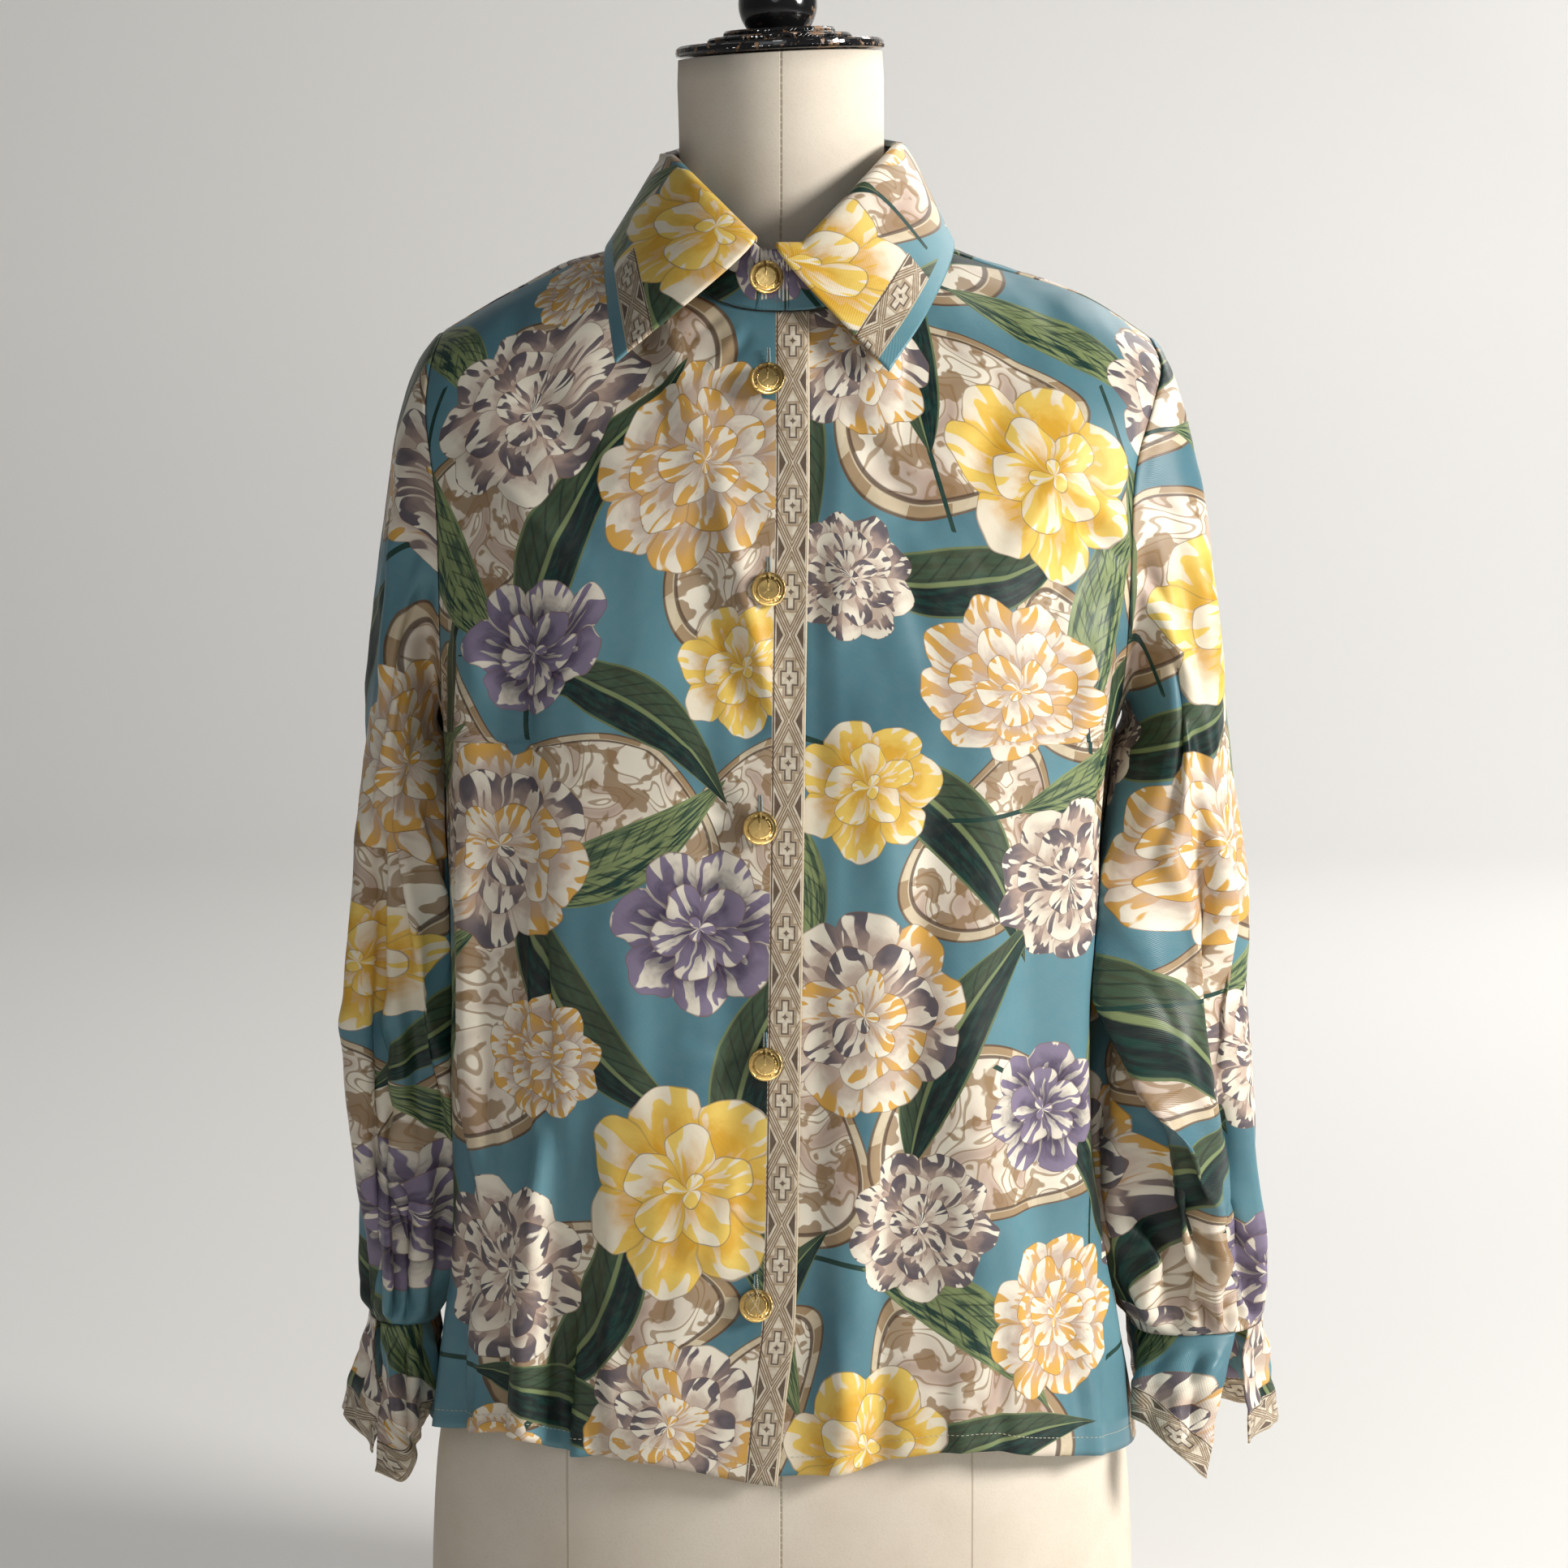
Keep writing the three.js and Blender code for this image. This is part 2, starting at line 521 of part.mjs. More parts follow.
function wallGeometry(grid, closed, thickness = clothThickness) {
  const rows = grid.length;
  const columns = grid[0].length;
  const positions = [];
  const push = (p) => positions.push(p.x, p.y, p.z);
  grid.flat().forEach((cell) => push(cell.point));
  grid.flat().forEach((cell) => {
    push(cell.inner ?? cell.point.clone().addScaledVector(cell.normal, -thickness));
  });
  const outer = (j, i) => j * columns + (i % columns);
  const inner = (j, i) => rows * columns + outer(j, i);
  const faces = [];
  const quad = (a, b, c, d) => faces.push(a, b, c, a, c, d);
  const across = closed ? columns : columns - 1;
  for (let j = 0; j < rows - 1; j++) {
    for (let i = 0; i < across; i++) {
      quad(outer(j, i), outer(j, i + 1), outer(j + 1, i + 1), outer(j + 1, i));
      quad(inner(j, i), inner(j + 1, i), inner(j + 1, i + 1), inner(j, i + 1));
    }
  }
  for (let i = 0; i < across; i++) {
    quad(outer(0, i + 1), outer(0, i), inner(0, i), inner(0, i + 1));
    quad(outer(rows - 1, i), outer(rows - 1, i + 1), inner(rows - 1, i + 1), inner(rows - 1, i));
  }
  if (!closed) {
    for (let j = 0; j < rows - 1; j++) {
      quad(outer(j, 0), outer(j + 1, 0), inner(j + 1, 0), inner(j, 0));
      quad(outer(j + 1, across), outer(j, across), inner(j, across), inner(j + 1, across));
    }
  }
  if (volumeOf(positions, faces) < 0) faces.reverse();
  const geometry = new THREE.BufferGeometry();
  geometry.setAttribute("position", new THREE.Float32BufferAttribute(positions, 3));
  geometry.setIndex(faces);
  return geometry;
}

// Sleeves

// The seam's points round an armhole, from the underarm up the front, over the shoulder and down the back
function armholeLoop(side, front, back) {
  const loop = [];
  const first = side < 0 ? 0 : 2 * backColumns;
  for (let k = 0; k < sleeveRounds; k++) {
    const up = k <= rowsAbove;
    const row = rowsBelow + (up ? k : sleeveRounds - k);
    const grid = up ? front : back;
    const edge = up ? frontColumns : first;
    loop.push(grid[row][edge]);
  }
  return loop.map(({ point, normal }, k) => {
    const before = loop[(k + sleeveRounds - 1) % sleeveRounds].point;
    const after = loop[(k + 1) % sleeveRounds].point;
    const out = after.clone().sub(before).cross(normal).normalize().multiplyScalar(side);
    return { point, normal, out };
  });
}

function sleeveRing({ size, folds, side, lowest }, z) {
  const ring = [];
  const inner = size.inner(z);
  const outer = size.outer(z);
  for (let k = 0; k < sleeveRounds; k++) {
    const turn = (360 * k) / sleeveRounds;
    const a = degrees(turn);
    const gathers = gatherDepth * (1 - ease(z, lowest, lowest + gatherReach)) *
      Math.sin(gatherCount * a + 1) * ease(z, lowest - 1, lowest + 14);
    const bulge = foldDepth(folds, turn, z, sleeveFoldRadius) * ease(z, lowest, lowest + 30) + gathers;
    const half = (outer - inner) / 2 + bulge;
    const depth = (Math.sin(a) > 0 ? size.front(z) : size.back(z)) + bulge;
    const x = (outer + inner) / 2 - half * Math.cos(a);
    ring.push(new THREE.Vector3(side * x, -depth * Math.sin(a), z));
  }
  return ring;
}

function sleeveGrid(side, front, back) {
  const rows = side < 0 ? rightSleeveSections : leftSleeveSections;
  const folds = side < 0 ? rightSleeveFolds : leftSleeveFolds;
  const sleeve = { size: curvesOf([...rows].reverse(), "z"), folds, side, lowest: rows.at(-1).z };
  const loop = armholeLoop(side, front, back);
  const top = rows[0].z;
  const ring = sleeveRing(sleeve, top);
  const below = sleeveRing(sleeve, top - 6);
  const rings = [loop.map(({ point, out }) => point.clone().addScaledVector(out, seamGap))];
  for (const f of turnOverSteps) {
    rings.push(loop.map(({ point, out }, k) => {
      const height = (1 - Math.cos((2 * Math.PI * k) / sleeveRounds)) / 2;
      const slackTop = side < 0 ? sleeveSlack.rightTop : sleeveSlack.leftTop;
      const slackOuter = side < 0 ? sleeveSlack.rightOuter : sleeveSlack.leftOuter;
      const start = out.clone().multiplyScalar(mix(sleeveSlack.turnOver, slackTop, height));
      const end = below[k].clone().sub(ring[k]).normalize();
      end.multiplyScalar(mix(sleeveSlack.turnOver, slackOuter, height));
      return hermitePoint(point, start, ring[k], end, f);
    }));
  }
  for (let i = 1; i <= lowerSleeveRings; i++) {
    rings.push(sleeveRing(sleeve, mix(top, sleeve.lowest, i / lowerSleeveRings)));
  }
  const grid = rings.map((points, j) => points.map((point, k) => {
    if (j === 0) return { point, normal: loop[k].normal };
    const after = points[(k + 1) % sleeveRounds];
    const before = points[(k + sleeveRounds - 1) % sleeveRounds];
    const down = rings[Math.min(j + 1, rings.length - 1)][k].clone().sub(rings[j - 1][k]);
    const normal = down.cross(after.clone().sub(before)).normalize().multiplyScalar(-side);
    return { point, normal };
  }));
  return grid;
}

// Cuffs: an open band below the sleeve, parted at the front of its outer side

function cuffGrid(side, sleeve) {
  const edge = curvesOf(side < 0 ? rightCuffEdge : leftCuffEdge, "turn");
  const seam = sleeve.at(-1);
  const down = new THREE.Vector3(0, 0, -seamGap);
  const points = [];
  for (let j = 0; j <= cuffRows; j++) {
    const row = [];
    for (let k = cuffFirstRound; k <= cuffFirstRound + sleeveRounds - 1; k++) {
      const turn = (360 * k) / sleeveRounds;
      const top = seam[k % sleeveRounds].point.clone().add(down);
      const foot = new THREE.Vector3(edge.x(turn), edge.y(turn), edge.z(turn));
      const f = j / cuffRows;
      const p = top.clone().lerp(foot, f);
      p.x += side * cuffFlare * Math.sin(Math.PI * f);
      row.push(p);
    }
    points.push(row);
  }
  return points.map((row, j) => row.map((point, i) => {
    if (j === 0) return { point, normal: seam[(i + cuffFirstRound) % sleeveRounds].normal };
    const after = row[Math.min(i + 1, row.length - 1)];
    const before = row[Math.max(i - 1, 0)];
    const fall = points[Math.min(j + 1, cuffRows)][i].clone().sub(points[j - 1][i]);
    const normal = after.clone().sub(before).cross(fall).normalize().multiplyScalar(side);
    return { point, normal };
  }));
}

// Collar

// The neckline as one path of cells, from the right front's end round the back to the left front's end
function necklinePath(rightFront, back, leftFront) {
  const top = rowsBelow + rowsAbove;
  const path = [];
  for (let i = 0; i <= frontNeckColumns; i++) path.push(rightFront[top][i]);
  const first = backColumns - backNeckColumns;
  const last = backColumns + backNeckColumns;
  for (let i = first; i <= last; i++) path.push(back[top][i]);
  for (let i = frontNeckColumns; i >= 0; i--) path.push(leftFront[top][i]);
  return path;
}

// Cut the path where the stand ends, short of the right front's edge
function standPath(path) {
  const first = path.findIndex((cell) => cell.point.x < standEndTop);
  const a = path[first - 1];
  const b = path[first];
  const f = (a.point.x - standEndTop) / (a.point.x - b.point.x);
  const start = { point: a.point.clone().lerp(b.point, f), normal: a.normal };
  const cut = [start, ...path.slice(first)];
  return cut.map(({ point, normal }, i) => {
    const before = cut[Math.max(i - 1, 0)].point;
    const after = cut[Math.min(i + 1, cut.length - 1)].point;
    const out = after.clone().sub(before).cross(normal).normalize();
    return { point, normal, out };
  });
}

// A point of the fold at the top of the stand, above a point of the neckline
function foldPoint(cell) {
  const p = cell.point;
  const side = p.x < 0 ? "Right" : "Left";
  const reach = foldLine["sideReach" + side];
  const depth = p.y < neckline.sideY ? -foldLine.frontY + neckline.sideY : foldLine.backY - neckline.sideY;
  const neckDepth = p.y < neckline.sideY ? neckline.sideY - neckline.frontY : neckline.backY - neckline.sideY;
  const x = (p.x * reach) / neckline.side;
  const y = neckline.sideY + ((p.y - neckline.sideY) * depth) / neckDepth;
  const rise = Math.max(Math.abs(x) - foldLine.flatTo, 0) / (reach - foldLine.flatTo);
  const sideHeight = foldLine["sideHeight" + side];
  const front = mix(foldLine.frontHeight, sideHeight, rise);
  const behind = mix(foldLine.backHeight, sideHeight, Math.pow(Math.abs(x) / reach, 2));
  const z = p.y < neckline.sideY ? front : behind;
  return new THREE.Vector3(x, y, z);
}

function standGrid(path) {
  const folds = path.map(foldPoint);
  const points = [];
  for (let j = 0; j <= standRows; j++) {
    points.push(path.map((cell, i) => {
      const start = cell.point.clone().addScaledVector(cell.out, standLift);
      return start.lerp(folds[i], j / standRows);
    }));
  }
  return points.map((row, j) => row.map((point, i) => {
    if (j === 0) return { point, normal: path[i].normal };
    const after = row[Math.min(i + 1, row.length - 1)];
    const before = row[Math.max(i - 1, 0)];
    const up = points[Math.min(j + 1, standRows)][i].clone().sub(points[j - 1][i]);
    return { point, normal: up.cross(after.clone().sub(before)).normalize() };
  }));
}

// Lift a point off the body's panels, to a clearance from the nearest cell
function liftedOff(point, cells, clearance) {
  let nearest = cells[0];
  for (const cell of cells) {
    if (cell.point.distanceToSquared(point) < nearest.point.distanceToSquared(point)) nearest = cell;
  }
  const height = point.clone().sub(nearest.point).dot(nearest.normal);
  return point.clone().addScaledVector(nearest.normal, Math.max(clearance - height, 0));
}

// Sink a point under the body's panels where it is nearer to their inner side than the clearance
function tuckedUnder(point, cells, clearance) {
  let nearest = cells[0];
  for (const cell of cells) {
    if (cell.point.distanceToSquared(point) < nearest.point.distanceToSquared(point)) nearest = cell;
  }
  const depth = point.clone().sub(nearest.point).dot(nearest.normal) + clothThickness + clearance;
  return point.clone().addScaledVector(nearest.normal, -Math.max(depth, 0));
}

function leafGrid(stand, fineCells) {
  const top = stand.at(-1);
  const centreBack = top.reduce((best, cell, i) => (cell.point.y > top[best].point.y ? i : best), 0);
  const from = top.findIndex((cell) => cell.point.x < leafStart.right);
  const to = top.length - 1 - [...top].reverse().findIndex((cell) => cell.point.x > leafStart.left);
  const right = new THREE.CatmullRomCurve3(rightLeafEdge.map((p) => new THREE.Vector3(p.x, p.y, p.z)));
  const left = new THREE.CatmullRomCurve3(leftLeafEdge.map((p) => new THREE.Vector3(p.x, p.y, p.z)));
  const columns = [];
  for (let i = from; i <= to; i++) {
    const cell = top[i];
    const inner = cell.point.clone().addScaledVector(cell.normal, -clothThickness);
    const out = cell.normal.clone().setZ(0).normalize();
    const up = new THREE.Vector3(0, 0, 1);
    const onRight = i <= centreBack;
    const share = onRight ? (i - from) / (centreBack - from) : (to - i) / (to - centreBack);
    const foot = liftedOff((onRight ? right : left).getPointAt(share), fineCells, leafClearance);
    const base = inner.addScaledVector(up, leafLift);
    const centre = base.clone().addScaledVector(out, foldRoll);
    const roll = rollAngles.map((angle) => centre.clone()
      .addScaledVector(out, foldRoll * Math.cos(degrees(angle)))
      .addScaledVector(up, foldRoll * Math.sin(degrees(angle))));
    const start = roll.at(-1);
    const length = start.distanceTo(foot);
    const away = out.clone().multiplyScalar(leafAway.out).addScaledVector(up, leafAway.up);
    const down = foot.clone().sub(start).normalize();
    const column = [...roll];
    for (let j = 1; j <= leafRows; j++) {
      const p = hermitePoint(start, away.clone().multiplyScalar(length * leafAway.slack), foot,
        down.clone().multiplyScalar(length), j / leafRows);
      column.push(liftedOff(p, fineCells, leafClearance * 0.8));
    }
    columns.push(column);
  }
  const rows = columns[0].map((_, j) => columns.map((column) => column[j]));
  return rows.map((row, j) => row.map((point, i) => {
    const after = row[Math.min(i + 1, row.length - 1)];
    const before = row[Math.max(i - 1, 0)];
    const next = rows[Math.min(j + 1, rows.length - 1)][i];
    const last = rows[Math.max(j - 1, 0)][i];
    const normal = after.clone().sub(before).cross(next.clone().sub(last)).normalize();
    return { point, normal: j === 0 ? top[from + i].normal.clone().negate() : normal };
  }));
}

// Buttons

function buttonGeometry() {
  const { radius, rim, thick, dome, shankRadius, shankLength, sides } = button;
  const back = shankLength;
  const face = back + thick;
  const profile = [
    [0, 0], [shankRadius, 0], [shankRadius, back], [radius * 0.86, back + 0.2], [radius, back + thick * 0.45],
    [radius - rim * 0.3, face], [radius - rim, face], [radius - rim * 1.5, face - 0.6],
    [radius * 0.45, face + dome * 0.6], [0, face + dome],
  ];
  const geometry = new THREE.LatheGeometry(profile.map(([x, y]) => new THREE.Vector2(x, y)), sides);
  return geometry.rotateX(Math.PI / 2);
}

// The cell of a front where x and z are nearest to the wanted ones
function frontCellAt(side, x, z) {
  const point = (a, b) => panelPoint("front", side, a, b);
  const tries = 40;
  let s = 0;
  let t = 0.5;
  for (let k = 0; k < tries; k++) {
    const p = point(s, t);
    s = THREE.MathUtils.clamp(s + ((x - p.x) * side) / (1.3 * sideLength), 0, 1);
    t = THREE.MathUtils.clamp(t + (z - p.z) / heightLength, 0, 1);
  }
  return { point: point(s, t), normal: normalOf(point, s, t, [0, 1], [0, 1], side) };
}

// The cell of the stand's end that laps over, at a reach and a share of its height
function standCellAt(stand, x, rise) {
  const row = stand[Math.round(rise * standRows)];
  const i = row.findIndex((cell) => cell.point.x < x);
  const f = (row[i - 1].point.x - x) / (row[i - 1].point.x - row[i].point.x);
  return { point: row[i - 1].point.clone().lerp(row[i].point, f), normal: row[i].normal };
}

function placeButton(name, cell) {
  const mesh = new THREE.Mesh(buttonGeometry(), new THREE.MeshStandardMaterial(gilt));
  mesh.name = name;
  mesh.position.copy(cell.point).addScaledVector(cell.normal, seamGap);
  mesh.quaternion.setFromUnitVectors(new THREE.Vector3(0, 0, 1), cell.normal);
  return mesh;
}

// Dress form

function formGeometry(cells) {
  const size = curvesOf(formSections, "z");
  const rings = formSections.map(({ z }) => {
    const ring = [];
    for (let k = 0; k < formSides; k++) {
      const a = (2 * Math.PI * k) / formSides;
      const depth = Math.cos(a) > 0 ? size.front(z) : size.back(z);
      const power = size.power(z);
      const reach = Math.pow(Math.pow(Math.abs(Math.sin(a)) / size.half(z), power) +
        Math.pow(Math.abs(Math.cos(a)) / depth, power), -1 / power);
      const p = new THREE.Vector3(reach * Math.sin(a), -reach * Math.cos(a), z);
      ring.push(z > chestHeight && z < formTuckTop ? tuckedUnder(p, cells, formClearance) : p);
    }
    return ring;
  });
  const slope = Math.tan(degrees(neckTop.tilt));
  const neck = [];
  for (let k = 0; k < formSides; k++) {
    const a = (2 * Math.PI * k) / formSides;
    const x = neckTop.radius * Math.sin(a);
    neck.push(new THREE.Vector3(x + neckTop.shift, -neckTop.radius * Math.cos(a), neckTop.z + x * slope));
  }
  rings.push(neck);
  const positions = [];
  rings.flat().forEach((p) => positions.push(p.x, p.y, p.z));
  const base = rings.length * formSides;
  positions.push(0, 0, formSections[0].z, neckTop.shift, 0, neckTop.z);
  const faces = [];
  for (let j = 0; j < rings.length - 1; j++) {
    for (let k = 0; k < formSides; k++) {
      const a = j * formSides + k;
      const b = j * formSides + ((k + 1) % formSides);
      faces.push(a, b, b + formSides, a, b + formSides, a + formSides);
    }
  }
  const last = (rings.length - 1) * formSides;
  for (let k = 0; k < formSides; k++) {
    const next = (k + 1) % formSides;
    faces.push(base, next, k, base + 1, last + k, last + next);
  }
  const geometry = new THREE.BufferGeometry();
  geometry.setAttribute("position", new THREE.Float32BufferAttribute(positions, 3));
  geometry.setIndex(faces);
  return geometry;
}

function turned(profile, sides) {
  const points = [new THREE.Vector2(0, profile[0].height)];
  profile.forEach(({ radius, height }) => points.push(new THREE.Vector2(radius, height)));
  points.push(new THREE.Vector2(0, profile.at(-1).height));
  return new THREE.LatheGeometry(points, sides).rotateX(Math.PI / 2);
}

function finialGeometry() {
  const { radius, footRadius, steps, sides } = finial;
  const start = Math.asin(footRadius / radius);
  const centre = radius * Math.cos(start);
  const profile = [];
  for (let i = 0; i < steps; i++) {
    const a = mix(start, Math.PI, i / steps);
    profile.push({ radius: radius * Math.sin(a), height: centre - radius * Math.cos(a) });
  }
  profile.push({ radius: 1, height: centre + radius });
  return turned(profile, sides);
}

// Assembly

const blouse = new THREE.Group();

function addMesh(parent, name, geometry, finish) {
  const mesh = new THREE.Mesh(geometry, new THREE.MeshStandardMaterial(finish));
  mesh.name = name;
  parent.add(mesh);
}

const frontRight = frontPanel(-1);
const frontLeft = frontPanel(1);
const back = backPanel();
addMesh(blouse, "front_right", wallGeometry(frontRight, false), silk);
addMesh(blouse, "front_left", wallGeometry(frontLeft, false), silk);
addMesh(blouse, "back", wallGeometry(back, false), silk);

const sleeveRight = sleeveGrid(-1, frontRight, back);
const sleeveLeft = sleeveGrid(1, frontLeft, back);
addMesh(blouse, "sleeve_right", wallGeometry(sleeveRight, true), silk);
addMesh(blouse, "sleeve_left", wallGeometry(sleeveLeft, true), silk);
addMesh(blouse, "cuff_right", wallGeometry(cuffGrid(-1, sleeveRight), false), silk);
addMesh(blouse, "cuff_left", wallGeometry(cuffGrid(1, sleeveLeft), false), silk);

const stand = standGrid(standPath(necklinePath(frontRight, back, frontLeft)));
addMesh(blouse, "collar_stand", wallGeometry(stand, false), silk);
const bodyCells = [...frontRight, ...frontLeft, ...back].flat();
addMesh(blouse, "collar", wallGeometry(leafGrid(stand, bodyCells), false), silk);

blouse.add(placeButton(collarButton.name, standCellAt(stand, collarButton.x, collarButton.rise)));
for (const { name, x, z } of buttonPlaces) {
  blouse.add(placeButton(name, frontCellAt(-1, x, z)));
}

const dressForm = new THREE.Group();
addMesh(dressForm, "form_torso", formGeometry(bodyCells), canvas);
const neckCap = new THREE.Group();
neckCap.position.set(neckTop.shift, 0, neckTop.z + seamGap);
neckCap.rotation.y = -degrees(neckTop.tilt);
addMesh(neckCap, "form_neck_cap", turned(capProfile, capSides), blackGloss);
const knob = new THREE.Group();
knob.position.z = capProfile.at(-1).height + seamGap;
addMesh(knob, "form_finial", finialGeometry(), blackGloss);
neckCap.add(knob);
dressForm.add(neckCap);

const group = new THREE.Group();
group.add(blouse, dressForm);
export default group;
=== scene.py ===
import math

import bpy
import numpy as np
from mathutils import Matrix, Vector
from mathutils.kdtree import KDTree


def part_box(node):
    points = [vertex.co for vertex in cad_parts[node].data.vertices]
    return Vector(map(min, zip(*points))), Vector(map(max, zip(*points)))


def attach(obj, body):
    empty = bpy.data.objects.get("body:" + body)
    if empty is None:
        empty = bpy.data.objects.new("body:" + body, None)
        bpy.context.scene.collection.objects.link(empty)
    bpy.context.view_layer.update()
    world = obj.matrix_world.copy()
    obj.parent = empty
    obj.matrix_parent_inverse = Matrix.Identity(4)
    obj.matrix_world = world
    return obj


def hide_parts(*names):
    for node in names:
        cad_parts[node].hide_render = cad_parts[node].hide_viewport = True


# A long-sleeved silk blouse on a dress form. Shapes are worked out in mm and become metres in the mesh.
# The front faces -Y. Right and left are the wearer's own, so the right front is at -X.
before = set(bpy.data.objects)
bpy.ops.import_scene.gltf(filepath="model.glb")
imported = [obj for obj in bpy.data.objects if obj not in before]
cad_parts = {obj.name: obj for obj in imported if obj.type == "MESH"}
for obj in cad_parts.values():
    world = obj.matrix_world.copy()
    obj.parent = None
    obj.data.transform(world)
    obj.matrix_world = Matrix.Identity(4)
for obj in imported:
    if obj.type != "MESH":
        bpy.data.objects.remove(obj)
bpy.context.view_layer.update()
bpy.ops.object.select_all(action="DESELECT")
mm = 0.001


def table(columns, *rows):
    return [dict(zip(columns.split(), row)) for row in rows]


def mix(a, b, f):
    return a + (b - a) * f


def ease(x, low, high):
    f = np.clip((x - low) / (high - low), 0, 1)
    return f * f * (3 - 2 * f)


def hermite(start, startSlope, end, endSlope, f):
    g = 1 - f
    places = start * (1 + 2 * f) * g * g + end * f * f * (3 - 2 * f)
    return places + startSlope * f * g * g - endSlope * f * f * g


def curveOf(rows, key, column):  # a smooth curve through one column of a table, level past its ends
    at = np.array([row[key] for row in rows], float)
    value = np.array([row[column] for row in rows], float)
    before = np.maximum(np.arange(len(at)) - 1, 0)
    after = np.minimum(np.arange(len(at)) + 1, len(at) - 1)
    slope = (value[after] - value[before]) / (at[after] - at[before])

    def curve(x):
        x = np.clip(x, at[0], at[-1])
        i = np.clip(np.searchsorted(at, x, side="right") - 1, 0, len(at) - 2)
        span = at[i + 1] - at[i]
        return hermite(value[i], slope[i] * span, value[i + 1], slope[i + 1] * span, (x - at[i]) / span)

    return curve


def curvesOf(rows, key):
    return {name: curveOf(rows, key, name) for name in rows[0] if name != key}


def unit(v):
    return v / np.maximum(np.linalg.norm(v, axis=-1, keepdims=True), 1e-9)


def foldDepth(folds, turn, z, radius):  # rounded ridges and troughs that hang down and fade at both ends
    total = 0 * turn + 0 * z
    for fold in folds:
        off = turn - fold["turn"] - fold["lean"] * (z - (fold["low"] + fold["high"]) / 2) / 100
        off = off - 360 * np.round(off / 360)
        across = np.radians(off) * radius / fold["width"]
        half = fold["fade"] / 2
        top = 1 - ease(z, fold["high"] - half, fold["high"] + half)
        strength = ease(z, fold["low"] - half, fold["low"] + half) * top
        if fold["low"] < 160:  # runs on to the hem
            strength = 1 - ease(z, fold["high"] - fold["fade"], fold["high"] + half)
        total = total + fold["depth"] * strength * np.exp(-across * across)
    return total


# Light and camera
print("camera and light")
view = dict(
    place=(0, -2.13, 0.77), aim=(0.001, 0, 0.482), lens=5114 / 1932 * 36, sensor=36,
    floorColor=(0.86, 0.85, 0.83), floorRoughness=0.9,
    floorFrom=-5.0, wallAt=3.6, wallBend=0.7, bendSteps=12, wallTop=4.2, width=7.0,
    world=(0.96, 0.98, 1.0), worldStrength=0.13,
    key=dict(place=(2.3, -1.0, 1.35), size=0.8, power=79, color=(1.0, 0.98, 0.95)),
    fill=dict(place=(-0.4, -2.7, 1.7), size=1.4, power=7, color=(0.92, 0.96, 1.0)),
    back=dict(place=(1.6, 1.9, 2.2), size=1.8, power=46, color=(1.0, 0.98, 0.95)),
    wall=dict(place=(2.0, 2.2, 1.3), aim=(0.9, 3.6, 1.0), size=1.0, power=17, color=(1.0, 0.99, 0.97)),
)


def addCamera():
    data = bpy.data.cameras.new("Camera")
    data.sensor_width = view["sensor"]
    data.lens = view["lens"]
    camera = bpy.data.objects.new("Camera", data)
    bpy.context.scene.collection.objects.link(camera)
    place = Vector(view["place"])
    camera.location = place
    camera.rotation_euler = (Vector(view["aim"]) - place).to_track_quat("-Z", "Y").to_euler()
    bpy.context.scene.camera = camera


def addLight(name, place, size, power, color, aim=(0, 0, 0.45)):
    data = bpy.data.lights.new(name, "AREA")
    data.shape = "DISK"
    data.size = size
    data.energy = power
    data.color = color
    light = bpy.data.objects.new(name, data)
    light.location = place
    light.rotation_euler = (Vector(aim) - Vector(place)).to_track_quat("-Z", "Y").to_euler()
    bpy.context.scene.collection.objects.link(light)


addCamera()
for lightName in ("key", "fill", "back", "wall"):
    addLight(lightName, **view[lightName])
world = bpy.data.worlds.new("World")
bpy.context.scene.world = world
world.use_nodes = True
world.node_tree.nodes["Background"].inputs["Color"].default_value = (*view["world"], 1)
world.node_tree.nodes["Background"].inputs["Strength"].default_value = view["worldStrength"]
bpy.context.scene.view_settings.view_transform = "Standard"


# Shader maths
class Value:
    def __init__(self, tree, socket):
        self.tree = tree
        self.socket = socket

    def math(self, operation, *others):
        return self.tree.node("ShaderNodeMath", {"operation": operation}, self, *others)

    def __add__(self, other):
        return self.math("ADD", other)

    def __radd__(self, other):
        return self.math("ADD", other)

    def __sub__(self, other):
        return self.math("SUBTRACT", other)

    def __rsub__(self, other):
        return self.tree.node("ShaderNodeMath", {"operation": "SUBTRACT"}, other, self)

    def __mul__(self, other):
        return self.math("MULTIPLY", other)

    def __rmul__(self, other):
        return self.math("MULTIPLY", other)

    def __truediv__(self, other):
        return self.math("DIVIDE", other)

    def __rtruediv__(self, other):
        return self.tree.node("ShaderNodeMath", {"operation": "DIVIDE"}, other, self)

    def __lt__(self, other):
        return self.math("LESS_THAN", other)

    def __gt__(self, other):
        return self.math("GREATER_THAN", other)

    def __abs__(self):
        return self.math("ABSOLUTE")

    def __pow__(self, other):
        return self.math("POWER", other)


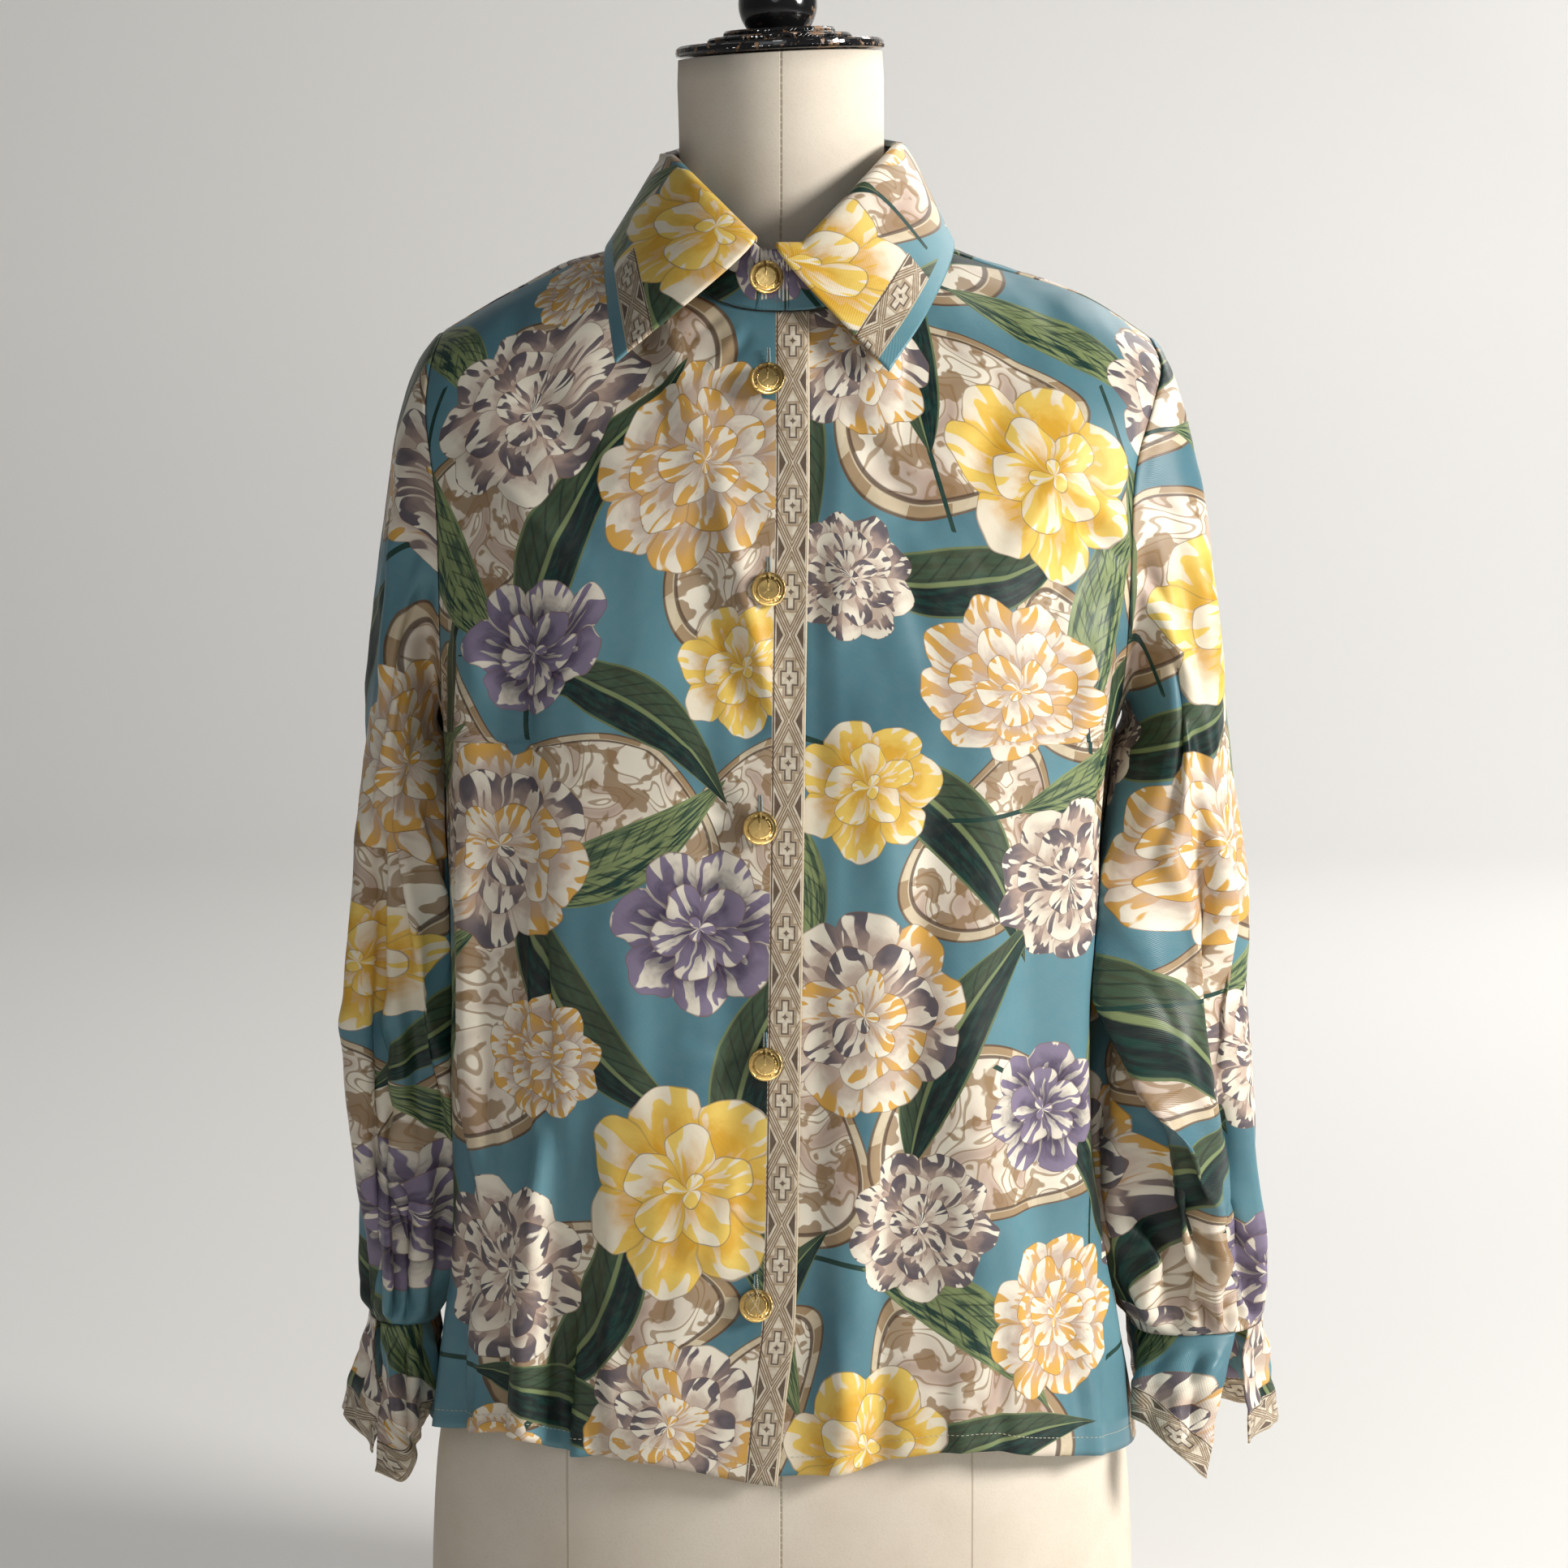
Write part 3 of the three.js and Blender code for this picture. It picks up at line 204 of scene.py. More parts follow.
class Tree:
    def __init__(self, name):
        self.material = bpy.data.materials.new(name)
        self.material.use_nodes = True
        self.nodes = self.material.node_tree.nodes
        self.links = self.material.node_tree.links
        self.shader = self.nodes["Principled BSDF"]

    def put(self, socket, value):
        if isinstance(value, Value):
            self.links.new(value.socket, socket)
        elif isinstance(value, (tuple, list)) and len(value) == 3 and len(socket.default_value) == 4:
            socket.default_value = (*value, 1)
        else:
            socket.default_value = value

    def node(self, kind, settings, *values, out=0, **named):
        made = self.nodes.new(kind)
        for key, value in settings.items():
            if key == "stops":
                while len(made.color_ramp.elements) < len(value):
                    made.color_ramp.elements.new(1)
                for element, (place, color) in zip(made.color_ramp.elements, value):
                    element.position = place
                    element.color = (*color, 1)
            else:
                setattr(made, key, value)
        for socket, value in zip(made.inputs, values):
            if value is not None:
                self.put(socket, value)
        for key, value in named.items():
            self.put(made.inputs[key.replace("_", " ")], value)
        return Value(self, made.outputs[out])

    def blend(self, factor, a, b):  # colours
        made = self.nodes.new("ShaderNodeMix")
        made.data_type = "RGBA"
        for index, value in ((0, factor), (6, a), (7, b)):
            self.put(made.inputs[index], value)
        return Value(self, made.outputs[2])

    def vector(self, operation, *values, out=0):
        return self.node("ShaderNodeVectorMath", {"operation": operation}, *values, out=out)

    def attribute(self, name, out=1):
        return self.node("ShaderNodeAttribute", {"attribute_name": name}, out=out)

    def join(self, x, y, z=0.0):
        return self.node("ShaderNodeCombineXYZ", {}, x, y, z)

    def ramp(self, factor, *stops):  # hard steps from one colour to the next
        made = self.node("ShaderNodeValToRGB", {"stops": stops}, factor)
        made.socket.node.color_ramp.interpolation = "CONSTANT"
        return made

    def split(self, vector):
        made = self.nodes.new("ShaderNodeSeparateXYZ")
        self.put(made.inputs[0], vector)
        return [Value(self, socket) for socket in made.outputs]

    def smooth(self, value, low, high):
        return self.node("ShaderNodeMapRange", {"interpolation_type": "SMOOTHSTEP"}, value, low, high)

    def noise(self, vector, scale, detail=2.0, rough=0.5, distortion=0.0, out=0):
        return self.node("ShaderNodeTexNoise", {}, Vector=vector, Scale=scale, Detail=detail,
                         Roughness=rough, Distortion=distortion, out=out)

    def bump(self, height, distance, strength=1.0):
        return self.node("ShaderNodeBump", {}, Strength=strength, Distance=distance, Height=height)

    def finish(self, **sockets):
        for key, value in sockets.items():
            self.put(self.shader.inputs[key.replace("_", " ")], value)
        return self.material


def paint(red, green, blue):  # a screen colour as the shader takes it
    return tuple(((c / 255 + 0.055) / 1.055) ** 2.4 for c in (red, green, blue))


# Print on the silk. Motifs are listed for one repeat, in mm; each face of the cloth keeps its place
# within the nearest motif of every layer, and the shader paints the motif from that.
design = dict(
    width=420, height=640, margin=5,
    stripWidth=0.0165, stripRepeat=0.042, rib=0.00065,  # in metres, as the shader measures
    blooms=table(  # kind 0 cream with gold, 1 cream with aubergine, 2 cream with both, 3 gold, 4 mauve
        "x y half turn kind",
        (52, 588, 55, 20, 1), (150, 536, 55, 70, 0), (70, 462, 38, 10, 4), (176, 432, 33, 40, 3),
        (50, 338, 54, 130, 2), (156, 300, 42, 0, 4), (75, 232, 33, 60, 0), (150, 170, 54, 25, 3),
        (48, 120, 50, 200, 1), (150, 48, 47, 15, 2), (272, 598, 52, 100, 2), (368, 545, 50, 45, 3),
        (262, 478, 33, 80, 1), (345, 432, 52, 160, 0), (270, 372, 36, 30, 3), (378, 318, 42, 220, 1),
        (270, 258, 54, 75, 2), (370, 204, 34, 120, 4), (300, 150, 40, 10, 1), (378, 96, 44, 50, 0),
        (272, 36, 44, 90, 3), (55, 22, 30, 0, 0),
    ),
    leaves=table(  # half is half the length, width a share of it; tone 0 dark, 1 light
        "x y half turn width bend tone",
        (100, 520, 80, 62, 0.21, 0.22, 0), (30, 505, 62, -58, 0.24, -0.2, 1),
        (118, 405, 66, -40, 0.22, 0.2, 0),
        (15, 425, 60, 75, 0.23, 0.16, 0), (110, 345, 66, 28, 0.24, -0.2, 1),
        (108, 262, 80, -52, 0.2, -0.24, 0), (10, 235, 70, 65, 0.22, 0.2, 1),
        (198, 235, 72, 70, 0.22, 0.22, 0),
        (98, 120, 76, 72, 0.22, -0.2, 0), (200, 105, 64, -55, 0.24, 0.2, 1), (95, 40, 66, -25, 0.22, 0.2, 0),
        (215, 555, 76, -70, 0.2, 0.22, 0), (320, 500, 72, 20, 0.22, -0.2, 0),
        (405, 480, 64, 70, 0.23, 0.18, 1),
        (305, 335, 76, -48, 0.2, 0.24, 0), (400, 385, 60, 30, 0.24, -0.2, 1),
        (225, 320, 58, -80, 0.23, 0.2, 1), (330, 240, 72, 60, 0.21, 0.22, 0),
        (405, 150, 66, -60, 0.23, 0.2, 0),
        (320, 90, 66, -38, 0.22, 0.2, 1), (225, 92, 64, 66, 0.22, 0.2, 0),
        (330, 20, 72, 15, 0.21, 0.2, 0), (400, 610, 62, -35, 0.22, 0.2, 1), (325, 605, 62, 75, 0.22, 0.18, 0),
    ),
    patches=table(
        "x y half turn width bend",
        (95, 605, 78, 160, 0.62, 0.2), (45, 520, 62, 40, 0.6, 0.2), (20, 400, 66, 100, 0.58, 0.22),
        (110, 350, 60, -20, 0.6, 0.2), (30, 250, 70, 70, 0.62, -0.2), (110, 90, 74, 20, 0.6, 0.22),
        (190, 350, 50, 80, 0.6, 0.2), (330, 560, 76, 20, 0.6, 0.2), (390, 440, 66, 120, 0.6, 0.2),
        (325, 345, 54, 60, 0.62, -0.2), (240, 200, 60, 100, 0.6, 0.2), (340, 180, 70, -10, 0.62, 0.2),
        (330, 60, 70, 130, 0.6, 0.22), (215, 60, 58, 60, 0.6, 0.2), (190, 480, 56, 30, 0.6, 0.2),
    ),
    teal=paint(95, 140, 151), deepTeal=paint(73, 115, 128), cream=paint(238, 229, 210),
    tan=paint(184, 158, 142),
    gold=paint(214, 156, 24), straw=paint(236, 202, 100), aubergine=paint(46, 32, 62),
    mauve=paint(130, 118, 142),
    darkGreen=paint(2, 26, 26), green=paint(14, 56, 48), olive=paint(134, 148, 98), brown=paint(74, 50, 34),
    stone=paint(218, 208, 188), rail=paint(126, 102, 74),
    taupe=paint(142, 110, 70), beige=paint(208, 192, 162), line=paint(120, 90, 70),
)


def wrapped(offset):
    tile = np.array([design["width"], design["height"]])
    return (offset + tile / 2) % tile - tile / 2


def spine(row):  # points down the middle of a motif, and how wide it is there
    p = np.linspace(-0.9, 0.9, 9)
    reach = row["half"] * row.get("width", 1)
    if "width" not in row:
        return np.array([[row["x"], row["y"]]]), np.array([reach * 1.06])
    q = row["bend"] * (1 - p * p)
    a = math.radians(row["turn"])
    x = row["x"] + row["half"] * (p * math.cos(a) - q * math.sin(a))
    y = row["y"] + row["half"] * (p * math.sin(a) + q * math.cos(a))
    return np.stack([x, y], -1), reach * (1 - p * p) ** 0.5


def layersOf(rows):  # motifs that would touch go to different layers
    layers = []
    for row in rows:
        points, width = spine(row)
        for layer in layers:
            clear = True
            for other in layer:
                otherPoints, otherWidth = spine(other)
                gap = np.linalg.norm(wrapped(points[:, None] - otherPoints[None]), axis=-1)
                clear = clear and np.all(gap > width[:, None] + otherWidth[None] + design["margin"])
            if clear:
                layer.append(row)
                break
        else:
            layers.append([row])
    return layers


def withinMotif(corners, rows):  # place of each face's corners in the motif nearest to the face
    middle = corners.mean(1)
    best, result = np.full(len(middle), 1e9), np.zeros((*corners.shape[:2], 3))
    for row in rows:
        offset = wrapped(middle - [row["x"], row["y"]])
        local = corners - middle[:, None] + offset[:, None]
        a = math.radians(row["turn"])
        p = (local[..., 0] * math.cos(a) + local[..., 1] * math.sin(a)) / row["half"]
        q = (local[..., 1] * math.cos(a) - local[..., 0] * math.sin(a)) / row["half"]
        if "bend" in row:
            across = (q.mean(1) - row["bend"] * (1 - p.mean(1) ** 2)) / row["width"]
            code = row["bend"] + row.get("tone", 0) * 2
        else:
            across = q.mean(1)
            code = row["kind"]
        score = p.mean(1) ** 2 + across ** 2
        nearer = score < best
        best[nearer] = score[nearer]
        result[nearer] = np.stack([p, q, np.full_like(p, code)], -1)[nearer]
    return result


motifLayers = {f"{kind}{k + 1}": layer for kind in ("patches", "leaves", "blooms")
               for k, layer in enumerate(layersOf(design[kind]))}
print("print layers:", {name: len(layer) for name, layer in motifLayers.items()})


def bloomPetals(t, angle, row, kind):
    count = row * 2 + 5
    around = angle * count + row * 0.37 + kind * 0.21
    across = around.math("FRACT") - 0.5
    tip = (1 - across * across * 4) * 0.5
    return across, tip, around.math("FLOOR").math("FLOORED_MODULO", count) + row * 7


def paintBlooms(t, name, color):  # rows of overlapping petals round a centre
    local = t.attribute(name)
    kind = t.split(local)[2]
    wobble = t.noise(local, 2.4, detail=1.0, out=1)
    bent = t.node("ShaderNodeVectorMath", {"operation": "MULTIPLY_ADD"}, wobble, (0.24, 0.24, 0.0), local)
    x, y, _ = t.split(t.vector("SUBTRACT", bent, (0.12, 0.12, 0.0)))
    openBloom = kind > 2.5
    v = (x * x + y * y) ** 0.5 * (3.6 - openBloom * 1.15)
    row = v.math("FLOOR")
    g = v - row
    angle = y.math("ARCTAN2", x) * (0.5 / math.pi)
    innerAcross, innerTip, innerPetal = bloomPetals(t, angle, row - 1, kind)
    outerAcross, outerTip, outerPetal = bloomPetals(t, angle, row, kind)
    inner = g < innerTip
    across = outerAcross + (innerAcross - outerAcross) * inner
    petal = outerPetal + (innerPetal - outerPetal) * inner
    fromTip = (outerTip + 1) + (innerTip - outerTip - 1) * inner - g
    inside = (row - inner) < (2.5 - openBloom)
    strokes = t.noise(t.join(across * 5 + petal * 3.1, fromTip * 0.9, petal * 5.7 + kind), 1.0, detail=1.0)
    streak = t.smooth(strokes - fromTip * 0.05, 0.485, 0.515)
    step = (kind + 0.5) / 5
    ground = t.ramp(step, (0, design["cream"]), (0.6, design["straw"]), (0.8, design["mauve"]))
    second = t.ramp(step, (0, design["gold"]), (0.2, design["aubergine"]), (0.6, design["cream"]))
    other = t.ramp((petal * 0.37).math("FRACT"), (0, design["gold"]), (0.5, design["aubergine"]))
    mixed = (abs(kind - 2)) < 0.5
    second = t.blend(mixed, second, other)
    shadeColor = t.ramp(step, (0, design["tan"]), (0.6, design["gold"]), (0.8, design["aubergine"]))
    soft = t.noise(t.join(across * 3 + petal, fromTip * 2, kind), 1.6, detail=2.0)
    shade = t.smooth(fromTip + (soft - 0.5) * 0.9, 0.2, 1.2) * 0.8 + t.smooth(abs(across), 0.26, 0.5) * 0.3
    made = t.blend(streak * 0.9, ground, second)
    made = t.blend(shade.math("MINIMUM", 1), made, shadeColor)
    edgeLine = t.smooth(fromTip, 0.05, 0.015).math("MAXIMUM", t.smooth(abs(across), 0.475, 0.495) * 0.5)
    made = t.blend(edgeLine * 0.7, made, design["line"])
    return t.blend(inside, color, made)


def paintLeaves(t, name, color):  # a bent blade with a midrib, side veins and a thin stem
    local = t.attribute(name)
    p, q, code = t.split(local)
    tone = code > 1
    bend = code - tone * 2
    arch = 1 - p * p
    off = q - bend * arch
    width = arch * (1 - p * 0.3) * 0.235
    blade = (abs(off) < width) * (abs(p) < 1)
    share = off / width.math("MAXIMUM", 0.001)
    side = abs(share)
    vein = ((side * 1.1 - p * 3.4) * 2).math("FRACT")
    veins = t.smooth(abs(vein - 0.5), 0.12, 0.04) * t.smooth(side, 0.95, 0.7) * 0.55
    strokes = t.noise(t.join(p * 2.5, share * 5, code * 7), 1.6, detail=2.0)
    dark = t.blend(t.smooth(strokes, 0.4, 0.62), design["darkGreen"], design["green"])
    light = t.blend(t.smooth(strokes, 0.4, 0.6), design["green"], design["olive"])
    ground = t.blend(tone, dark, light)
    made = t.blend(t.smooth(share, -0.05, 0.25) * 0.18, ground, design["olive"])
    made = t.blend(veins, made, design["darkGreen"])
    made = t.blend(t.smooth(side, 0.1, 0.05) * 0.8, made, design["olive"])
    made = t.blend(t.smooth(side, 0.9, 0.95) * 0.55, made, design["olive"])
    stem = (abs(off) < 0.022) * (p < 0) * (p > -1.55)
    made = t.blend(blade, design["green"], made)
    return t.blend(blade.math("MAXIMUM", stem), color, made)


def paintPatches(t, name, color):  # cream shapes with a beaded rim and taupe scrollwork
    local = t.attribute(name)
    p, q, bend = t.split(local)
    off = (q - bend * (1 - p * p)) / ((1 - p * 0.35) * 0.62)
    reach = (p * p + off * off) ** 0.5
    swirl = t.noise(local, 2.2, detail=1.0, distortion=1.2)
    scroll = t.smooth(abs((swirl * 8).math("FRACT") - 0.5), 0.16, 0.08)
    blots = t.smooth(t.noise(local, 4.6, detail=2.0), 0.53, 0.56)
    beads = ((off.math("ARCTAN2", p) * 8).math("SINE") > 0) * (reach > 0.9)
    rim = t.smooth(abs(reach - 0.87), 0.025, 0.012)
    edgeLine = t.smooth(reach, 0.97, 0.985)
    ground = t.blend(t.smooth(swirl, 0.3, 0.62), design["tan"], design["cream"])
    made = t.blend(blots * 0.8, ground, design["taupe"])
    made = t.blend(scroll * 0.7, made, design["taupe"])
    made = t.blend((reach > 0.87) * 0.9, made, design["beige"])
    made = t.blend(beads * 0.75, made, design["taupe"])
    made = t.blend(rim.math("MAXIMUM", edgeLine) * 0.85, made, design["brown"])
    return t.blend(reach < 1, color, made)


def paintStrip(t, color):  # a trellis border that runs beside an edge
    fromEdge, along, kind = t.split(t.attribute("strip"))
    x = fromEdge / design["stripWidth"]
    share = (along / design["stripRepeat"]).math("FRACT")
    off = abs(x - 0.5)
    run = abs(share - 0.5)
    fromCross = off - run * 1.2
    rails = t.smooth(abs(abs(abs(fromCross) - 0.075) - 0.035), 0.03, 0.018)
    wedges = t.smooth(fromCross, 0.19, 0.215) * t.smooth(off, 0.41, 0.39)
    rise = (0.5 - run) * 2.5
    bars = (off - 0.1).math("MAXIMUM", rise - 0.5).math("MINIMUM", (off - 0.25).math("MAXIMUM", rise - 0.2))
    bars = bars.math("MAXIMUM", fromCross + 0.14)
    plus = t.smooth(abs(bars), 0.035, 0.02)
    star = t.smooth(off * rise + (off + rise) * 0.05, 0.007, 0.004)
    lines = t.smooth(abs(off - 0.455), 0.028, 0.016)
    shading = t.smooth(t.noise(t.attribute("cloth"), 260.0), 0.35, 0.65)
    made = t.blend(shading * 0.35, design["stone"], design["taupe"])
    made = t.blend(t.smooth(abs(bars - 0.07), 0.04, 0.025) * 0.6, made, design["taupe"])
    made = t.blend(plus.math("MAXIMUM", star) * 0.85, made, design["brown"])
    made = t.blend(wedges * 0.9, made, design["brown"])
    made = t.blend(rails * 0.9, made, design["rail"])
    made = t.blend(lines * 0.9, made, design["brown"])
    made = t.blend((x < 0.06) * 0.6, made, design["beige"])
    color = t.blend((x < 1) * (kind > 0.8), color, made)
    return t.blend((x < 0) * (kind > 0.2), color, design["teal"])


def makeSilk():
    t = Tree("PrintedSilk")
    flat = t.attribute("cloth")
    u, v, _ = t.split(flat)
    # the teal ground goes lighter and darker in broad soft patches: partly uneven dye, partly painted sheen;
    # the same patches vary the roughness
    dyeAndSheenMottle = t.noise(flat, 9.0, detail=2.0)
    color = t.blend(t.smooth(dyeAndSheenMottle, 0.3, 0.7), design["deepTeal"], design["teal"])
    for name in motifLayers:
        paintMotif = {"p": paintPatches, "l": paintLeaves, "b": paintBlooms}[name[0]]
        color = paintMotif(t, name, color)
    color = paintStrip(t, color)
    fine = t.noise(flat, 160.0, detail=2.0)
    color = t.blend(t.smooth(fine, 0.35, 0.7) * 0.02, color, design["beige"])
    ribs = ((u + v) * (2 * math.pi / (design["rib"] * math.sqrt(2)))).math("SINE")
    height = ribs * 0.5 + t.noise(flat, 900.0, detail=1.0)
    normal = t.bump(height, 0.00012, strength=0.4)
    rough = 0.36 + t.smooth(dyeAndSheenMottle, 0.3, 0.7) * 0.08
    return t.finish(Base_Color=color, Roughness=rough, Normal=normal, Sheen_Weight=0.04, Sheen_Roughness=0.4,
                    Specular_IOR_Level=0.38)


silk = makeSilk()


# Meshes from grids
def gridMesh(name, points, uv, closed=False, place=(0, 0), strip=None, thickness=0.45):
    rows, columns = points.shape[:2]
    across = columns if closed else columns - 1
    j, i = np.meshgrid(np.arange(rows - 1), np.arange(across), indexing="ij")
    a, b = j * columns + i, j * columns + (i + 1) % columns
    faces = np.stack([a, b, b + columns, a + columns], -1).reshape(-1, 4)

    def corners(values):  # a grid's values at each face's four corners
        return np.stack([values[j, i], values[j, i + 1], values[j + 1, i + 1], values[j + 1, i]], 2)

    mesh = bpy.data.meshes.new(name)
    mesh.from_pydata((points.reshape(-1, 3) * mm).tolist(), [], faces.tolist())
    layer = mesh.uv_layers.new(name="cloth")
    layer.data.foreach_set("uv", (corners(uv) * mm).astype(np.float32).ravel())
    for motifs, motifRows in motifLayers.items():
        vectorAttribute(mesh, motifs, withinMotif(corners(uv).reshape(-1, 4, 2) + place, motifRows))
    if strip is None:
        strip = np.zeros((*uv.shape[:2], 3))
    vectorAttribute(mesh, "strip", corners(strip) * [mm, mm, 1])
    piece = bpy.data.objects.new(name, mesh)
    bpy.context.scene.collection.objects.link(piece)
    mesh.shade_smooth()
    wall = piece.modifiers.new("wall", "SOLIDIFY")
    wall.thickness = thickness * mm
    wall.offset = -1
    applyModifiers(piece)
    piece.data.materials.append(silk)
    return piece


def vectorAttribute(mesh, name, values):
    attribute = mesh.attributes.new(name, "FLOAT_VECTOR", "CORNER")
    attribute.data.foreach_set("vector", values.astype(np.float32).ravel())


def applyModifiers(piece):
    bpy.context.view_layer.objects.active = piece
    piece.select_set(True)
    for modifier in list(piece.modifiers):
        bpy.ops.object.modifier_apply(modifier=modifier.name)
    piece.select_set(False)


def wearing(piece, *nodes, slot):
    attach(piece, "root")
    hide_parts(*nodes)


def lengthsAlong(points, axis, start):  # distance along the grid's lines, zero at one of its rows or columns
    step = np.linalg.norm(np.diff(points, axis=axis), axis=-1)
    zero = np.zeros_like(np.take(step, [0], axis=axis))
    total = np.concatenate([zero, np.cumsum(step, axis=axis)], axis=axis)
    return total - np.take(total, [start], axis=axis)


def gridNormals(points, closed=False):
    if closed:
        across = np.roll(points, -1, 1) - np.roll(points, 1, 1)
    else:
        across = np.gradient(points, axis=1)
    return unit(np.cross(across, np.gradient(points, axis=0)))


# Body
print("body")
body = dict(
    rowsBelow=11, rowsAbove=12, frontColumns=18, frontNeckColumns=8, backColumns=14, backNeckColumns=6,
    seamGap=0.3, underarm=515, chest=620, middleAtUnderarm=508, foldRadius=150,
    lapStep=2.5, lapFrom=15, lapTo=29, underLapEdge=-13,
    sections=table(
        "z left right front back power",
        (120, 188, 187, 119, 115, 2.9), (150, 186, 185, 119, 114, 2.9), (200, 177, 176, 118, 112, 3.1),
        (260, 171, 167, 118, 110, 3.3), (355, 170, 160, 119, 108, 3.5), (450, 172, 165, 120, 108, 3.3),
        (515, 174, 172, 120, 110, 3.1), (560, 179, 181, 120, 112, 2.8), (620, 193, 196, 118, 114, 2.5),
        (700, 200, 205, 112, 110, 2.4),
    ),
    hemRight=table("turn z", (-90, 152), (-72, 157), (-52, 165), (-47, 156), (-38, 157), (-27, 154),
                   (-10, 146), (8, 141)),
    hemLeft=table("turn z", (-8, 147), (18, 151), (27, 157), (41, 160), (52, 154), (70, 146), (90, 141)),
    hemBack=table("turn z", (-90, 152), (-60, 147), (-25, 153), (10, 148), (45, 152), (90, 141)),
    lapEdge=table("z x", (141, -2.7), (190, 2.4), (228, 6.6), (384, 9.7), (565, 12), (650, 13.5),
                  (728, 13.3)),
    folds=table(
        "turn lean width depth low high fade",
        (-59, -1, 10, 7, 300, 560, 60), (-52, -1, 9, -8, 300, 570, 60), (-44, 3, 9, -9, 150, 340, 60),
        (-51, 3, 10, 6, 140, 330, 60), (-66, 2, 12, 4, 200, 560, 90), (-78, 0, 11, -6, 180, 430, 80),
        (-24, 5, 15, 3, 150, 420, 90), (-15, -3, 13, -2.5, 240, 620, 90), (18, 3, 15, 4, 140, 470, 90),
        (28, 4, 12, -5, 140, 520, 90), (41, -3, 14, 5, 140, 400, 80), (52, -2, 12, -5, 180, 500, 80),
        (62, 0, 12, 6, 260, 560, 70), (77, 0, 13, -9, 230, 500, 70), (112, 1, 13, -6, 170, 520, 90),
        (126, 3, 15, 7, 140, 560, 110), (141, -2, 14, -6, 140, 500, 90), (158, 4, 16, 6, 140, 600, 120),
        (176, -3, 15, -5, 140, 480, 90), (-165, 3, 16, 6, 140, 570, 120), (-148, -2, 13, -6, 140, 500, 90),
        (-131, 2, 16, 7, 140, 560, 110), (-112, 0, 13, -5, 170, 500, 90),
    ),
    neckline=dict(side=66, sideY=-12, sideHeight=762, frontY=-80, frontHeight=727, backY=54, backHeight=784,
                  frontPower=2.6, backPower=1.5),
    shoulderSeamY=-12,
    rightSeam=table("x z", (66, 762), (84, 755.5), (108, 748.5), (140, 733.5), (172, 715)),
    leftSeam=table("x z", (66, 762), (84, 756), (108, 748), (153, 733), (186, 712.5)),
    armholeFront=66, armholeBack=64, armholeShare=0.45,
    hemBelow=350, slopeStep=10, arch=dict(front=0.95, back=1.1),
    overShoulder=dict(front=(0, 0.93, 0.36), back=(0, -0.93, -0.36)),
    upNeck=dict(front=(0, 0.55, 0.85), back=(0, -0.4, 0.85)),
    rightArmhole=table("z x", (515, 174), (560, 172), (600, 171.5), (636, 172.5), (676, 177.5), (700, 176),
                       (716, 172)),
    leftArmhole=table("z x", (515, 172), (560, 173.5), (600, 174), (649, 176), (683, 186), (699, 190),
                      (714, 186)),
)

bodyCurve = curvesOf(body["sections"], "z")
lapEdgeX = curveOf(body["lapEdge"], "z", "x")
seamHeight = {-1: curveOf(body["rightSeam"], "x", "z"), 1: curveOf(body["leftSeam"], "x", "z")}
seamEnd = {-1: body["rightSeam"][-1]["x"], 1: body["leftSeam"][-1]["x"]}
armholeReach = {-1: curveOf(body["rightArmhole"], "z", "x"), 1: curveOf(body["leftArmhole"], "z", "x")}
hemFront = {-1: curveOf(body["hemRight"], "turn", "z"), 1: curveOf(body["hemLeft"], "turn", "z")}
hemBack = curveOf(body["hemBack"], "turn", "z")
lowShare = body["rowsBelow"] / (body["rowsBelow"] + body["rowsAbove"])
neckShares = {"front": body["frontNeckColumns"] / body["frontColumns"],
              "back": body["backNeckColumns"] / body["backColumns"]}


def bodyPoint(turn, z):
    angle = np.radians(turn)
    reach = np.where(turn > 0, bodyCurve["right"](z), bodyCurve["left"](z))
    depth = np.where(np.abs(turn) < 90, bodyCurve["front"](z), bodyCurve["back"](z))
    power = bodyCurve["power"](z)
    total = (np.abs(np.sin(angle)) / reach) ** power + (np.abs(np.cos(angle)) / depth) ** power
    radius = total ** (-1 / power) + foldDepth(body["folds"], turn, z, body["foldRadius"])
    return np.stack([radius * np.sin(angle), -radius * np.cos(angle), z + 0 * radius], -1)


def armholePoint(face, side, f):
    top = seamHeight[side](seamEnd[side])
    z = mix(body["underarm"], top, (1 - np.cos(np.pi * f)) / 2)
    reach = -body["armholeFront"] if face == "front" else body["armholeBack"]
    y = body["shoulderSeamY"] * f + reach * np.sin(np.pi * f)
    return np.stack([side * armholeReach[side](z), y, z], -1)


def outerTurn(face, side, z):
    top = seamHeight[side](seamEnd[side])
    share = np.clip((z - body["underarm"]) / (top - body["underarm"]), 0, 1)
    edge = armholePoint(face, side, np.arccos(1 - 2 * share) / np.pi)
    return np.where(z <= body["underarm"], side * 90.0, np.degrees(np.arctan2(edge[..., 0], -edge[..., 1])))


def frontEdgeX(side, z):
    return lapEdgeX(z) if side < 0 else body["underLapEdge"] + 0 * z


def centreTurn(face, side, z):
    if face == "back":
        return side * 180.0 + 0 * z
    return np.degrees(np.arctan2(frontEdgeX(side, z), bodyCurve["front"](z)))


